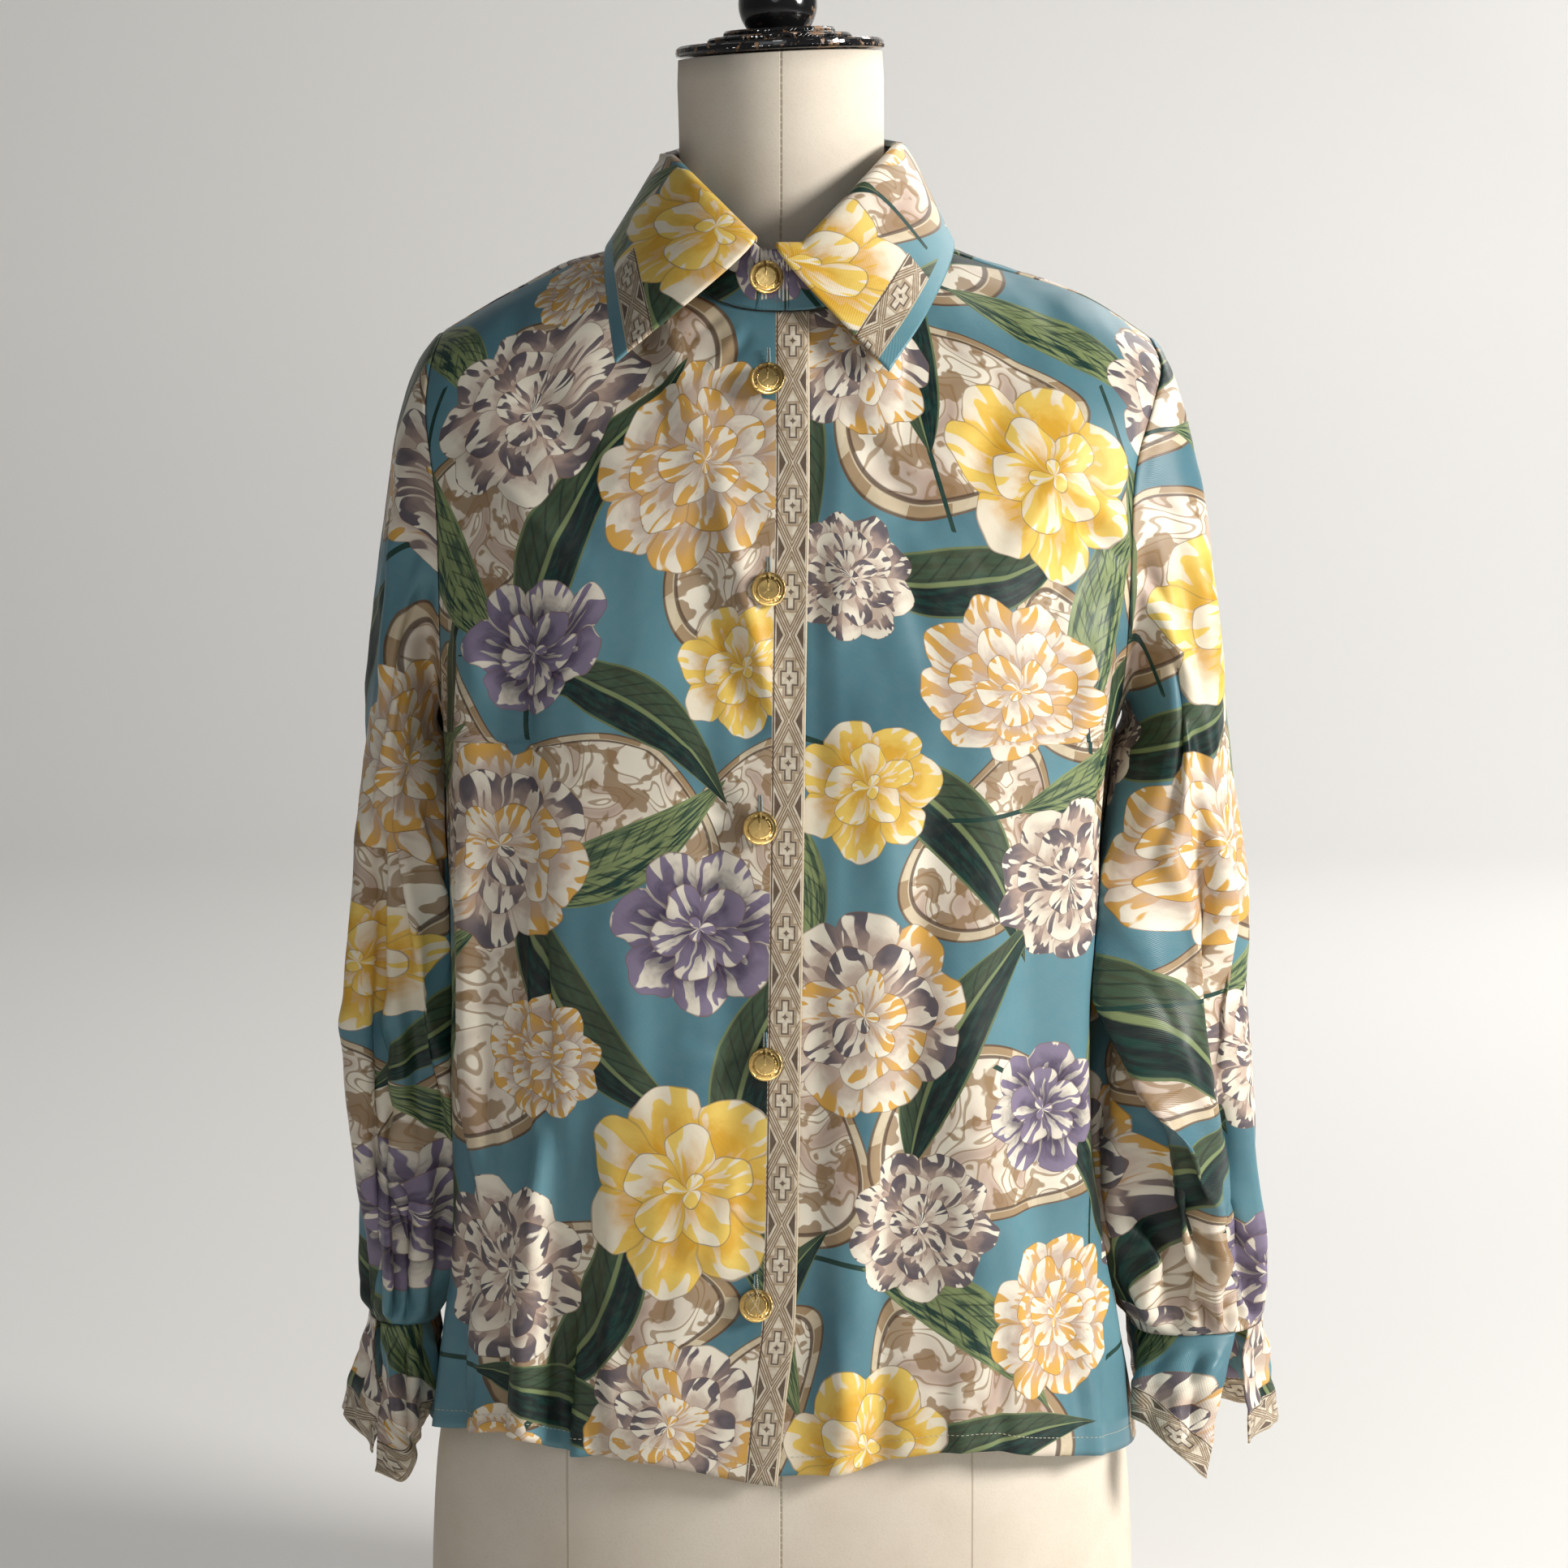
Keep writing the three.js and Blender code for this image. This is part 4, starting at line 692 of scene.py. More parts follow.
def topPoint(face, side, s):
    neck = body["neckline"]
    share = neckShares[face]
    x = mix(neck["side"], seamEnd[side], np.clip((s - share) / (1 - share), 0, 1))
    seam = np.stack([side * x, body["shoulderSeamY"] + 0 * x, seamHeight[side](x)], -1)
    f = np.clip(s / share, 0, 1)
    turn = np.sin(f * np.pi / 2)
    if face == "back":
        fall = np.cos(f * np.pi / 2)
        loop = np.stack([side * neck["side"] * turn, mix(neck["sideY"], neck["backY"], fall),
                         mix(neck["backHeight"], neck["sideHeight"], f ** neck["backPower"])], -1)
    else:
        x = mix(frontEdgeX(side, np.float64(neck["frontHeight"])), side * neck["side"], turn)
        part = np.minimum(np.abs(x) / neck["side"], 1)
        loop = np.stack([x, mix(neck["sideY"], neck["frontY"], np.sqrt(1 - part * part)),
                         mix(neck["frontHeight"], neck["sideHeight"], part ** neck["frontPower"])], -1)
    return np.where((s >= share)[..., None], seam, loop)


def topDirection(face, side, s):
    share = neckShares[face]
    over = np.array(body["overShoulder"][face])
    up = np.array(body["upNeck"][face])
    f = ease(s / share, 0.35, 1)[..., None]
    return np.where((s >= share)[..., None], over, unit(mix(up, over, f)))


def panelBase(face, side, s, t):
    s, t = np.broadcast_arrays(np.asarray(s, float), np.asarray(t, float))

    def turnAt(z):
        return mix(centreTurn(face, side, z), outerTurn(face, side, z), s)

    underarmRow = mix(body["middleAtUnderarm"], body["underarm"], s)
    turn = turnAt(underarmRow - body["hemBelow"])
    if face == "front":
        hem = hemFront[side](turn)
    else:
        hem = hemBack(np.where(turn > 0, 180 - turn, -180 - turn))
    f = np.clip((t - lowShare) / (1 - lowShare), 0, 1)
    top = topPoint(face, side, s)
    share = mix(f, (1 - np.cos(np.pi * f)) / 2, s * s)
    z = np.where(t <= lowShare, mix(hem, underarmRow, t / lowShare), mix(underarmRow, top[..., 2], share))
    chest = body["chest"] + 0 * s
    start = bodyPoint(turnAt(chest), chest)
    rise = (top[..., 2] - chest)[..., None]
    step = body["slopeStep"]
    startSlope = (start - bodyPoint(turnAt(chest - step), chest - step)) * rise / step
    endSlope = topDirection(face, side, s) * rise * body["arch"][face]
    over = hermite(start, startSlope, top, endSlope, ((z - chest) / rise[..., 0])[..., None])
    return np.where((z <= chest)[..., None], bodyPoint(turnAt(z), z), over)


def panelPoint(face, side, s, t):
    s, t = np.broadcast_arrays(np.asarray(s, float), np.asarray(t, float))
    point = panelBase(face, side, s, t)
    f = np.clip((t - lowShare) / (1 - lowShare), 0, 1)
    miss = armholePoint(face, side, f) - panelBase(face, side, 1 + 0 * s, t)
    return point + miss * (ease(s, body["armholeShare"], 1) * (t > lowShare))[..., None]


def panelCell(face, side, s, t):  # points and outward normals
    s, t = np.broadcast_arrays(np.asarray(s, float), np.asarray(t, float))
    step = 0.004
    across = panelPoint(face, side, np.minimum(s + step, 1), t)
    across = across - panelPoint(face, side, np.maximum(s - step, 0), t)
    up = panelPoint(face, side, s, np.minimum(t + step, 1))
    up = up - panelPoint(face, side, s, np.maximum(t - step, 0))
    outwards = side if face == "front" else -side
    return panelPoint(face, side, s, t), unit(np.cross(across, up)) * outwards


# Creases: soft troughs and ridges between two places on the body, placed by turn in degrees and height in mm
creases = dict(
    strength=2.0,
    body=table(
        "turn1 z1 turn2 z2 width depth",
        (-60.5, 480, -60, 262, 3.4, 3.4), (-57, 480, -56.5, 255, 3.4, -3.2), (-49, 345, -49, 190, 3.4, 2.0),
        (-46, 345, -46, 180, 3.4, -2.4), (53, 634, 70, 595, 5, -2.0), (52, 652, 69, 612, 5, 1.8),
        (-70, 235, -71, 85, 4, 2.6), (-65, 260, -66, 85, 4, -3.4), (-60, 245, -60, 85, 4, 3.4),
        (-55, 270, -56, 85, 3.6, -4.0), (-51, 260, -51.5, 85, 3.4, 3.6), (-47.5, 300, -47, 85, 3.2, -3.0),
        (-44, 280, -43.5, 85, 3.4, 2.6), (-40, 270, -39.5, 85, 3.6, -2.0), (-51.5, 455, -50.5, 300, 3.2, 3.0),
        (-48.5, 445, -48, 310, 3.4, -2.2), (-54.5, 465, -53.5, 300, 3.4, -2.8), (38, 220, 38, 85, 5, 1.8),
        (44, 240, 45, 85, 5, -1.8), (62, 230, 63, 85, 5, 2.0), (24, 210, 24, 85, 5, -1.4),
        (-16, 655, -1, 520, 8, 2.0), (-21, 640, -7, 505, 7, -1.4), (-16, 600, -4, 520, 7, -1.5),
        (-20, 500, -6, 470, 6, -0.9),
        (-4, 590, -22, 610, 5, -0.9), (-6, 476, -26, 492, 5, -0.8), (-5, 360, -22, 372, 5, -0.8),
        (-8, 238, -26, 262, 6, -1.0), (-10, 330, -16, 240, 8, 1.1), (-22, 330, -28, 200, 8, -1.2),
        (-34, 420, -30, 300, 9, 1.3), (-60, 690, -38, 640, 8, -1.6), (-63, 660, -40, 600, 7, 1.5),
        (-64, 640, -46, 560, 7, -1.7), (-68, 610, -54, 520, 6, 1.6), (-56, 250, -60, 165, 6, -2.0),
        (-62, 230, -66, 165, 6, 1.8), (-40, 240, -36, 165, 7, 1.6), (-20, 700, -10, 716, 4, -0.8),
        (-24, 690, -12, 722, 4, 0.8), (-30, 715, -18, 728, 3, -0.7),
        (14, 690, 30, 628, 9, -1.5), (10, 560, 22, 640, 10, 1.2), (26, 620, 34, 540, 9, -1.4),
        (20, 520, 24, 430, 10, 1.0), (58, 700, 40, 640, 8, -1.7), (62, 670, 44, 600, 7, 1.6),
        (64, 640, 48, 560, 7, -1.8), (66, 600, 56, 500, 7, 1.9), (70, 560, 62, 440, 7, -2.1),
        (34, 330, 30, 190, 9, -1.3), (46, 300, 50, 165, 8, 1.7), (58, 260, 60, 160, 7, -1.9),
        (12, 230, 16, 160, 7, 1.2), (70, 300, 74, 165, 8, 1.9), (26, 716, 14, 728, 3, -0.8),
        (110, 690, 132, 620, 9, -1.9), (114, 640, 138, 560, 9, 1.8), (116, 590, 136, 480, 8, -1.7),
        (-110, 680, -134, 610, 9, -1.9), (-114, 630, -140, 550, 9, 1.8), (-118, 590, -138, 470, 8, -1.7),
        (160, 700, 170, 600, 10, 1.3), (-168, 690, -160, 560, 10, -1.3), (178, 560, 172, 420, 10, 1.2),
        (150, 380, 146, 220, 9, -1.5), (-152, 360, -156, 200, 9, -1.6), (-176, 330, 180, 190, 9, 1.3),
        (128, 280, 124, 165, 8, 1.7), (-128, 290, -122, 165, 8, 1.7),
    ),
    sleeve_right=table(
        "turn1 z1 turn2 z2 width depth",
        (71, 490, 36, 350, 6, 4.5), (56, 480, 22, 320, 6, -4.5), (92, 500, 66, 300, 6, -3.6),
        (62, 420, 52, 222, 6, -4.5), (80, 400, 84, 222, 6, 3.6), (104, 470, 112, 222, 6, -3.8),
        (128, 460, 132, 240, 6, 3.2), (146, 500, 142, 300, 6, -2.6), (44, 300, 58, 212, 4, -4.0),
        (66, 290, 74, 212, 4, 4.0), (88, 280, 92, 212, 4, -4.0), (104, 290, 100, 212, 4, 3.6),
        (120, 270, 124, 212, 4, -3.4),
        (60, 640, 100, 560, 7, 1.6), (70, 600, 118, 500, 7, -1.8), (84, 560, 128, 450, 7, 1.8),
        (130, 650, 140, 520, 8, -1.4), (160, 620, 168, 470, 8, 1.5), (50, 520, 96, 440, 6, -1.8),
        (70, 400, 120, 330, 6, 1.8), (60, 350, 110, 290, 6, -1.8), (120, 380, 160, 330, 6, 1.5),
        (80, 300, 100, 226, 5, 2.0), (110, 320, 124, 226, 5, -2.0), (140, 300, 150, 226, 5, 1.8),
        (200, 640, 210, 480, 8, 1.5), (240, 600, 230, 440, 8, -1.7), (270, 560, 280, 420, 8, 1.6),
        (220, 380, 260, 300, 7, 1.8), (300, 420, 290, 300, 7, -1.6), (200, 300, 210, 226, 5, -1.8),
        (250, 290, 256, 226, 5, 1.8), (320, 290, 326, 226, 5, 1.6),
    ),
    sleeve_left=table(
        "turn1 z1 turn2 z2 width depth",
        (44, 435, 112, 262, 6, 8.0), (40, 400, 100, 244, 8, -9.5), (76, 345, 116, 262, 5, 3.6),
        (116, 270, 92, 214, 6, 5.0), (58, 320, 88, 206, 7, -7.5), (118, 470, 142, 340, 6, 4.4),
        (102, 460, 126, 335, 6, -4.8), (96, 570, 66, 440, 7, -3.4), (132, 330, 136, 212, 5, -4.0),
        (148, 340, 152, 212, 5, 3.2), (34, 375, 46, 232, 7, -6.0), (70, 262, 60, 206, 4, 4.0),
        (84, 244, 100, 204, 3.6, -3.6), (104, 250, 122, 206, 4, 3.6), (126, 246, 118, 206, 3.6, -3.4),
        (56, 650, 96, 570, 7, -1.7), (64, 610, 110, 520, 7, 1.8), (76, 570, 124, 470, 7, -1.8),
        (128, 640, 134, 520, 8, 1.5), (158, 620, 150, 480, 8, -1.4), (90, 520, 110, 440, 7, -1.6),
        (70, 470, 104, 410, 6, 1.8), (50, 430, 90, 360, 6, -2.0), (110, 400, 140, 330, 6, 1.8),
        (60, 330, 100, 270, 6, 2.2), (80, 290, 110, 230, 5, -2.2), (120, 310, 130, 222, 5, 2.0),
        (150, 330, 156, 222, 6, -1.8), (60, 260, 76, 216, 5, 2.0), (204, 640, 214, 480, 8, -1.5),
        (240, 600, 232, 440, 8, 1.7), (272, 560, 284, 420, 8, -1.6), (222, 380, 262, 300, 7, 1.8),
        (304, 420, 292, 300, 7, 1.6), (204, 300, 212, 222, 5, 1.8), (252, 290, 258, 222, 5, -1.8),
        (324, 290, 330, 222, 5, 1.6),
    ),
    cuff_right=table(
        "turn1 z1 turn2 z2 width depth",
        (160, 0, 190, 60, 8, 2.4), (215, 10, 235, 62, 7, -2.2), (260, 5, 262, 60, 8, 2.2),
        (330, 5, 322, 60, 8, -2.2),
        (395, 0, 380, 62, 8, 2.4), (430, 8, 445, 60, 7, -2.6), (462, 0, 458, 60, 6, 2.4),
    ),
    cuff_left=table(
        "turn1 z1 turn2 z2 width depth",
        (150, 0, 176, 60, 7, 2.6), (190, 10, 215, 62, 7, -2.4), (250, 5, 244, 60, 8, 2.2),
        (310, 5, 330, 60, 8, -2.2),
        (372, 0, 392, 62, 8, 2.6), (412, 8, 404, 60, 7, -2.8), (448, 0, 462, 60, 7, 2.8),
        (470, 12, 440, 40, 6, -2.0),
    ),
    crumple=table("across up height", (26, 60, 0.7), (13, 26, 0.38), (7, 11, 0.13)),
    seed=7,
)
crumpleRandom = np.random.RandomState(creases["seed"])
crumpleField = crumpleRandom.uniform(-1, 1, (64, 64))


def crumple(u, v, rows):  # gentle uneven waves, longer along the cloth than across it
    total = 0 * u
    for row in rows:
        x, y = u / row["across"] % 64, v / row["up"] % 64
        i, j = np.floor(x).astype(int), np.floor(y).astype(int)
        fx, fy = ease(x - i, 0, 1), ease(y - j, 0, 1)
        corner = [crumpleField[(j + b) % 64, (i + a) % 64] for b in (0, 1) for a in (0, 1)]
        total = total + row["height"] * mix(mix(corner[0], corner[1], fx), mix(corner[2], corner[3], fx), fy)
    return total


def creaseDepth(rows, a, b, radius, wrap=True):
    total = 0 * a
    for row in rows:
        turn1, z1, turn2, z2 = row["turn1"], row["z1"], row["turn2"], row["z2"]
        off = a - turn1
        x = np.radians((off + 180) % 360 - 180 if wrap else off) * radius
        endX = math.radians((turn2 - turn1 + 180) % 360 - 180) * radius
        endZ = z2 - z1
        length = math.hypot(endX, endZ)
        along = (x * endX + (b - z1) * endZ) / length ** 2
        off = (x * endZ - (b - z1) * endX) / length
        inside = np.clip(along, 0, 1)
        fade = np.sin(np.pi * inside) ** 0.8
        over = (along - inside) * length
        total = total + row["depth"] * fade * np.exp(-(off ** 2 + over ** 2) / row["width"] ** 2)
    return total


panels = dict(frontColumns=98, backColumns=156, rowsBelow=116, rowsAbove=126, hemDepth=9, hemDip=0.25,
              hemFrom=8, hemMiddle=9.5, hemTo=11, seamWidth=1.6, seamDip=0.55, creaseFade=12, crumpleShift=31)
panelRows = np.concatenate([np.linspace(0, lowShare, panels["rowsBelow"], endpoint=False),
                            np.linspace(lowShare, 1, panels["rowsAbove"] + 1)])


def roughened(points, normals, u, v, edgeDistance):
    turn = np.degrees(np.arctan2(points[..., 0], -points[..., 1]))
    depth = creaseDepth(creases["body"], turn, points[..., 2], body["foldRadius"]) * creases["strength"]
    depth = depth + crumple(u + panels["crumpleShift"] * np.sign(points[..., 1]), v, creases["crumple"])
    depth = depth * ease(edgeDistance, 0, panels["creaseFade"])
    dip = panels["seamDip"] * (1 - ease(edgeDistance, 0, panels["seamWidth"]))
    return points + normals * (depth - dip)[..., None]


def frontGrid(side):
    s = np.linspace(0, 1, panels["frontColumns"] + 1)[None, :]
    points, normals = panelCell("front", side, s, panelRows[:, None])
    u = lengthsAlong(points, 1, 0)
    v = lengthsAlong(points, 0, panels["rowsBelow"])
    edge = np.minimum(u[:, -1:] - u, v[-1:, :] - v)  # from the side seam, armhole, shoulder and neck
    points = roughened(points, normals, u, v, edge)
    if side > 0:  # the left front runs on beneath the right one
        sunk = body["lapStep"] * (1 - ease(points[..., 0], body["lapFrom"], body["lapTo"]))
        points = points - normals * sunk[..., None]
    hem = v - v[:1, :]
    dip = ease(hem, panels["hemFrom"], panels["hemMiddle"])
    dip = dip * (1 - ease(hem, panels["hemMiddle"], panels["hemTo"]))
    points = points - normals * (panels["hemDip"] * dip)[..., None]
    return points, normals, u * side, v


def backGrid():
    s = np.linspace(-1, 1, panels["backColumns"] + 1)
    sides = []
    for side in (-1, 1):
        part = np.abs(s[(s < 0) if side < 0 else (s >= 0)])[None, :]
        sides.append(panelCell("back", side, part, panelRows[:, None]))
    points = np.concatenate([sides[0][0], sides[1][0]], 1)
    normals = np.concatenate([sides[0][1], sides[1][1]], 1)
    u = lengthsAlong(points, 1, panels["backColumns"] // 2)
    v = lengthsAlong(points, 0, panels["rowsBelow"])
    edge = np.minimum(np.minimum(u[:, -1:] - u, u - u[:, :1]), v[-1:, :] - v)
    return roughened(points, normals, u, v, edge), normals, u, v


frontRight = frontGrid(-1)
frontLeft = frontGrid(1)
back = backGrid()


bodyPoints = np.concatenate([grid[0].reshape(-1, 3) for grid in (frontRight, frontLeft, back)])
bodyNormals = np.concatenate([grid[1].reshape(-1, 3) for grid in (frontRight, frontLeft, back)])
bodyTree = KDTree(len(bodyPoints))
for index, point in enumerate(bodyPoints):
    bodyTree.insert(point, index)
bodyTree.balance()


def liftedOff(points, clearance):
    flat = points.reshape(-1, 3).copy()
    for index, point in enumerate(flat):
        nearest = bodyTree.find(point)[1]
        height = np.dot(point - bodyPoints[nearest], bodyNormals[nearest])
        flat[index] = point + bodyNormals[nearest] * max(clearance - height, 0)
    return flat.reshape(points.shape)


def stripAlong(fromEdge, along, shown=1):  # shown 1 trellis and teal band, 0.5 the band alone
    return np.stack([fromEdge, along, 0 * along + shown], -1)


def clothPiece(name, node, points, u, v, flat, area, held="draped", rests=("form_torso",), **more):
    uv = np.stack([u, v], -1)
    piece = gridMesh(name, points, uv, **more)
    wearing(piece, node, slot="silk")
    return piece


points, _, u, v = [part[:, ::-1] for part in frontRight]
clothPiece("FrontRight", "front_right", points, u, v, (0.32, 0.64), 0.160, place=(207, 385),
           strip=stripAlong(-u, v))
clothPiece("FrontLeft", "front_left", frontLeft[0], frontLeft[2], frontLeft[3], (0.32, 0.64), 0.160,
           place=(215, 385))
clothPiece("Back", "back", back[0], -back[2], back[3], (0.56, 0.66), 0.300, place=(330, 300))


# Sleeves
print("sleeves")
sleeves = dict(
    columns=160, turnOverRows=60, lowerRows=150, foldRadius=50,
    slack=dict(rightTop=100, rightOuter=150, leftTop=62, leftOuter=200, turnOver=60),
    gatherCount=7, gatherDepth=2.4, gatherReach=55, top=496,
    right=table(
        "z inner outer front back",
        (496, 178, 213, 64, 66), (448, 176.5, 220, 62, 68), (382, 175, 223, 60, 68), (305, 175, 222, 58, 64),
        (250, 177, 219, 52, 58), (206, 181, 216, 44, 50),
    ),
    left=table(
        "z inner outer front back",
        (496, 177, 232, 66, 66), (445, 173, 236, 68, 66), (380, 168, 239, 68, 66), (330, 167, 241, 66, 64),
        (280, 171, 244, 60, 60), (235, 177, 248, 52, 54), (200, 182, 252, 42, 46),
    ),
    rightFolds=table(
        "turn lean width depth low high fade",
        (62, 20, 9, 7, 250, 480, 60), (96, 16, 9, -8, 220, 470, 70), (128, 10, 10, 6, 230, 500, 80),
        (160, -6, 10, -3, 220, 420, 70), (232, 8, 12, -7, 220, 480, 80), (275, -6, 12, 6, 230, 480, 80),
        (318, 6, 11, -6, 230, 440, 70),
    ),
    leftFolds=table(
        "turn lean width depth low high fade",
        (92, -42, 13, 9, 255, 450, 45), (55, -32, 15, -17, 225, 385, 45), (84, -6, 9, 8, 200, 320, 40),
        (128, 8, 10, -10, 215, 430, 70), (158, 3, 10, 4, 215, 460, 80), (100, 14, 12, -5, 380, 520, 50),
        (228, 9, 12, -8, 220, 480, 80), (270, -7, 12, 7, 220, 480, 80), (312, 6, 12, -7, 220, 440, 70),
    ),
    hug={-1: dict(turn=40, width=30, inward=12, forward=8),
         1: dict(turn=52, width=27, inward=18, forward=12)},
    hugLow=215, hugHigh=455, hugFade=60, clearance=1.1, rest=8, restWidth=62,
    restTop=520, underWidth=36, underClearance=0.5,
    pucker=3.6, puckerReach=84, puckerFrom=4, puckerCount=19, puckerUneven=0.4,
    crumpleShare=2.4, crumpleShift=300, restFade=22, restRise=35, foldRise=30, gatherRise=14,
    printPlace={-1: (90, 530), 1: (250, 470)},
    cuffPrintPlace=(40, 330), cuffThickness=0.9, cuffBow=1.5,
    cuffFolds=2.2, cuffCrumple=4, cuffCrumpleShift=90, cuffFade=18,
    cuffRows=44, cuffColumns=140, cuffFrom=135, cuffTo=480,
    rightCuff=table(
        "turn x y z",
        (135, -212, -30, 134), (180, -229, 0, 146), (225, -226, 36, 140), (270, -206, 62, 136),
        (315, -193, 40, 140), (360, -191, 0, 146), (405, -188, -46, 146), (450, -194, -63, 129),
        (480, -210, -60, 133),
    ),
    leftCuff=table(
        "turn x y z",
        (135, 242, -30, 139), (180, 262, 0, 142), (225, 256, 36, 138), (270, 230, 56, 140),
        (315, 202, 40, 148),
        (360, 190, 0, 156), (405, 186, -44, 157), (450, 203, -62, 143), (480, 219, -63, 130),
    ),
)


def sleeveRing(side, turn, z):
    rows = sleeves["right" if side < 0 else "left"]
    size = curvesOf(rows[::-1], "z")
    folds = sleeves["rightFolds" if side < 0 else "leftFolds"]
    last = rows[-1]["z"]
    turn, z = np.broadcast_arrays(np.asarray(turn, float), np.asarray(z, float))
    a = np.radians(turn)
    gathers = sleeves["gatherDepth"] * (1 - ease(z, last, last + sleeves["gatherReach"]))
    gathers = gathers * np.sin(sleeves["gatherCount"] * a + 1)
    gathers = gathers * ease(z, last - 1, last + sleeves["gatherRise"])
    bulge = foldDepth(folds, turn, z, sleeves["foldRadius"])
    bulge = bulge * ease(z, last, last + sleeves["foldRise"]) + gathers
    inner, outer = size["inner"](z), size["outer"](z)
    half = (outer - inner) / 2 + bulge
    depth = np.where(np.sin(a) > 0, size["front"](z), size["back"](z)) + bulge
    return np.stack([side * ((outer + inner) / 2 - half * np.cos(a)), -depth * np.sin(a), z], -1)


def armholeLoop(side, count):
    f = np.linspace(0, 1, count // 2 + 1)
    t = lowShare + f * (1 - lowShare)
    frontPoints, frontNormals = panelCell("front", side, np.ones_like(t), t)
    backPoints, backNormals = panelCell("back", side, np.ones_like(t), t)
    points = np.concatenate([frontPoints, backPoints[-2:0:-1]])
    normals = np.concatenate([frontNormals, backNormals[-2:0:-1]])
    ahead = np.roll(points, -1, 0) - np.roll(points, 1, 0)
    return points, unit(np.cross(ahead, normals)) * side


def sleeveGrid(side):
    count = sleeves["columns"]
    points, out = armholeLoop(side, count)
    turn = 360 * np.arange(count) / count
    top = sleeves["top"]
    ring = sleeveRing(side, turn, top)
    slack = sleeves["slack"]
    name = "right" if side < 0 else "left"
    height = ((1 - np.cos(np.radians(turn))) / 2)[:, None]
    start = out * mix(slack["turnOver"], slack[name + "Top"], height)
    end = unit(sleeveRing(side, turn, top - 6) - ring) * mix(slack["turnOver"], slack[name + "Outer"], height)
    f = np.linspace(0, 1, sleeves["turnOverRows"], endpoint=False)[:, None, None]
    upper = hermite(points, start, ring, end, f)
    lowest = sleeves[name][-1]["z"]
    z = np.linspace(top, lowest, sleeves["lowerRows"])
    lower = sleeveRing(side, turn[None, :], z[:, None])
    return np.concatenate([upper, lower])


def againstBody(side, points, turn):  # draw the front inner part of a sleeve over the body's side
    hug = sleeves["hug"][side]
    z = points[..., 2]
    fade = sleeves["hugFade"]
    share = ease(z, sleeves["hugLow"] - fade, sleeves["hugLow"] + fade)
    share = share * (1 - ease(z, sleeves["hugHigh"] - fade, sleeves["hugHigh"] + fade))
    off = (turn - hug["turn"] + 180) % 360 - 180
    share = share * np.exp(-(off / hug["width"]) ** 2)
    moved = points - share[..., None] * [side * hug["inward"], hug["forward"], 0]
    low, high = sleeves["right" if side < 0 else "left"][-1]["z"], sleeves["restTop"]
    resting = ease(z, low, low + sleeves["restRise"]) * (1 - ease(z, high - sleeves["restFade"], high))
    off = (turn + 180) % 360 - 180
    moved[..., 0] -= side * sleeves["rest"] * resting * np.exp(-(off / sleeves["restWidth"]) ** 4)
    first = sleeves["turnOverRows"] + 6
    moved[first:] = liftedOff(moved[first:], sleeves["clearance"])
    under = slice(first // 3, first)
    share = np.exp(-(off[under] / sleeves["underWidth"]) ** 4)[..., None]
    moved[under] = mix(moved[under], liftedOff(moved[under], sleeves["underClearance"]), share)
    return moved


def cuffGrid(side):
    name = "right" if side < 0 else "left"
    edge = curvesOf(sleeves[name + "Cuff"], "turn")
    turn = np.linspace(sleeves["cuffFrom"], sleeves["cuffTo"], sleeves["cuffColumns"])
    seam = sleeveRing(side, turn, sleeves[name][-1]["z"])
    foot = np.stack([edge["x"](turn), edge["y"](turn), edge["z"](turn)], -1)
    f = np.linspace(0, 1, sleeves["cuffRows"])[:, None, None]
    points = mix(seam, foot, f)
    points[..., 0] -= side * sleeves["cuffBow"] * np.sin(np.pi * f[..., 0])
    return points


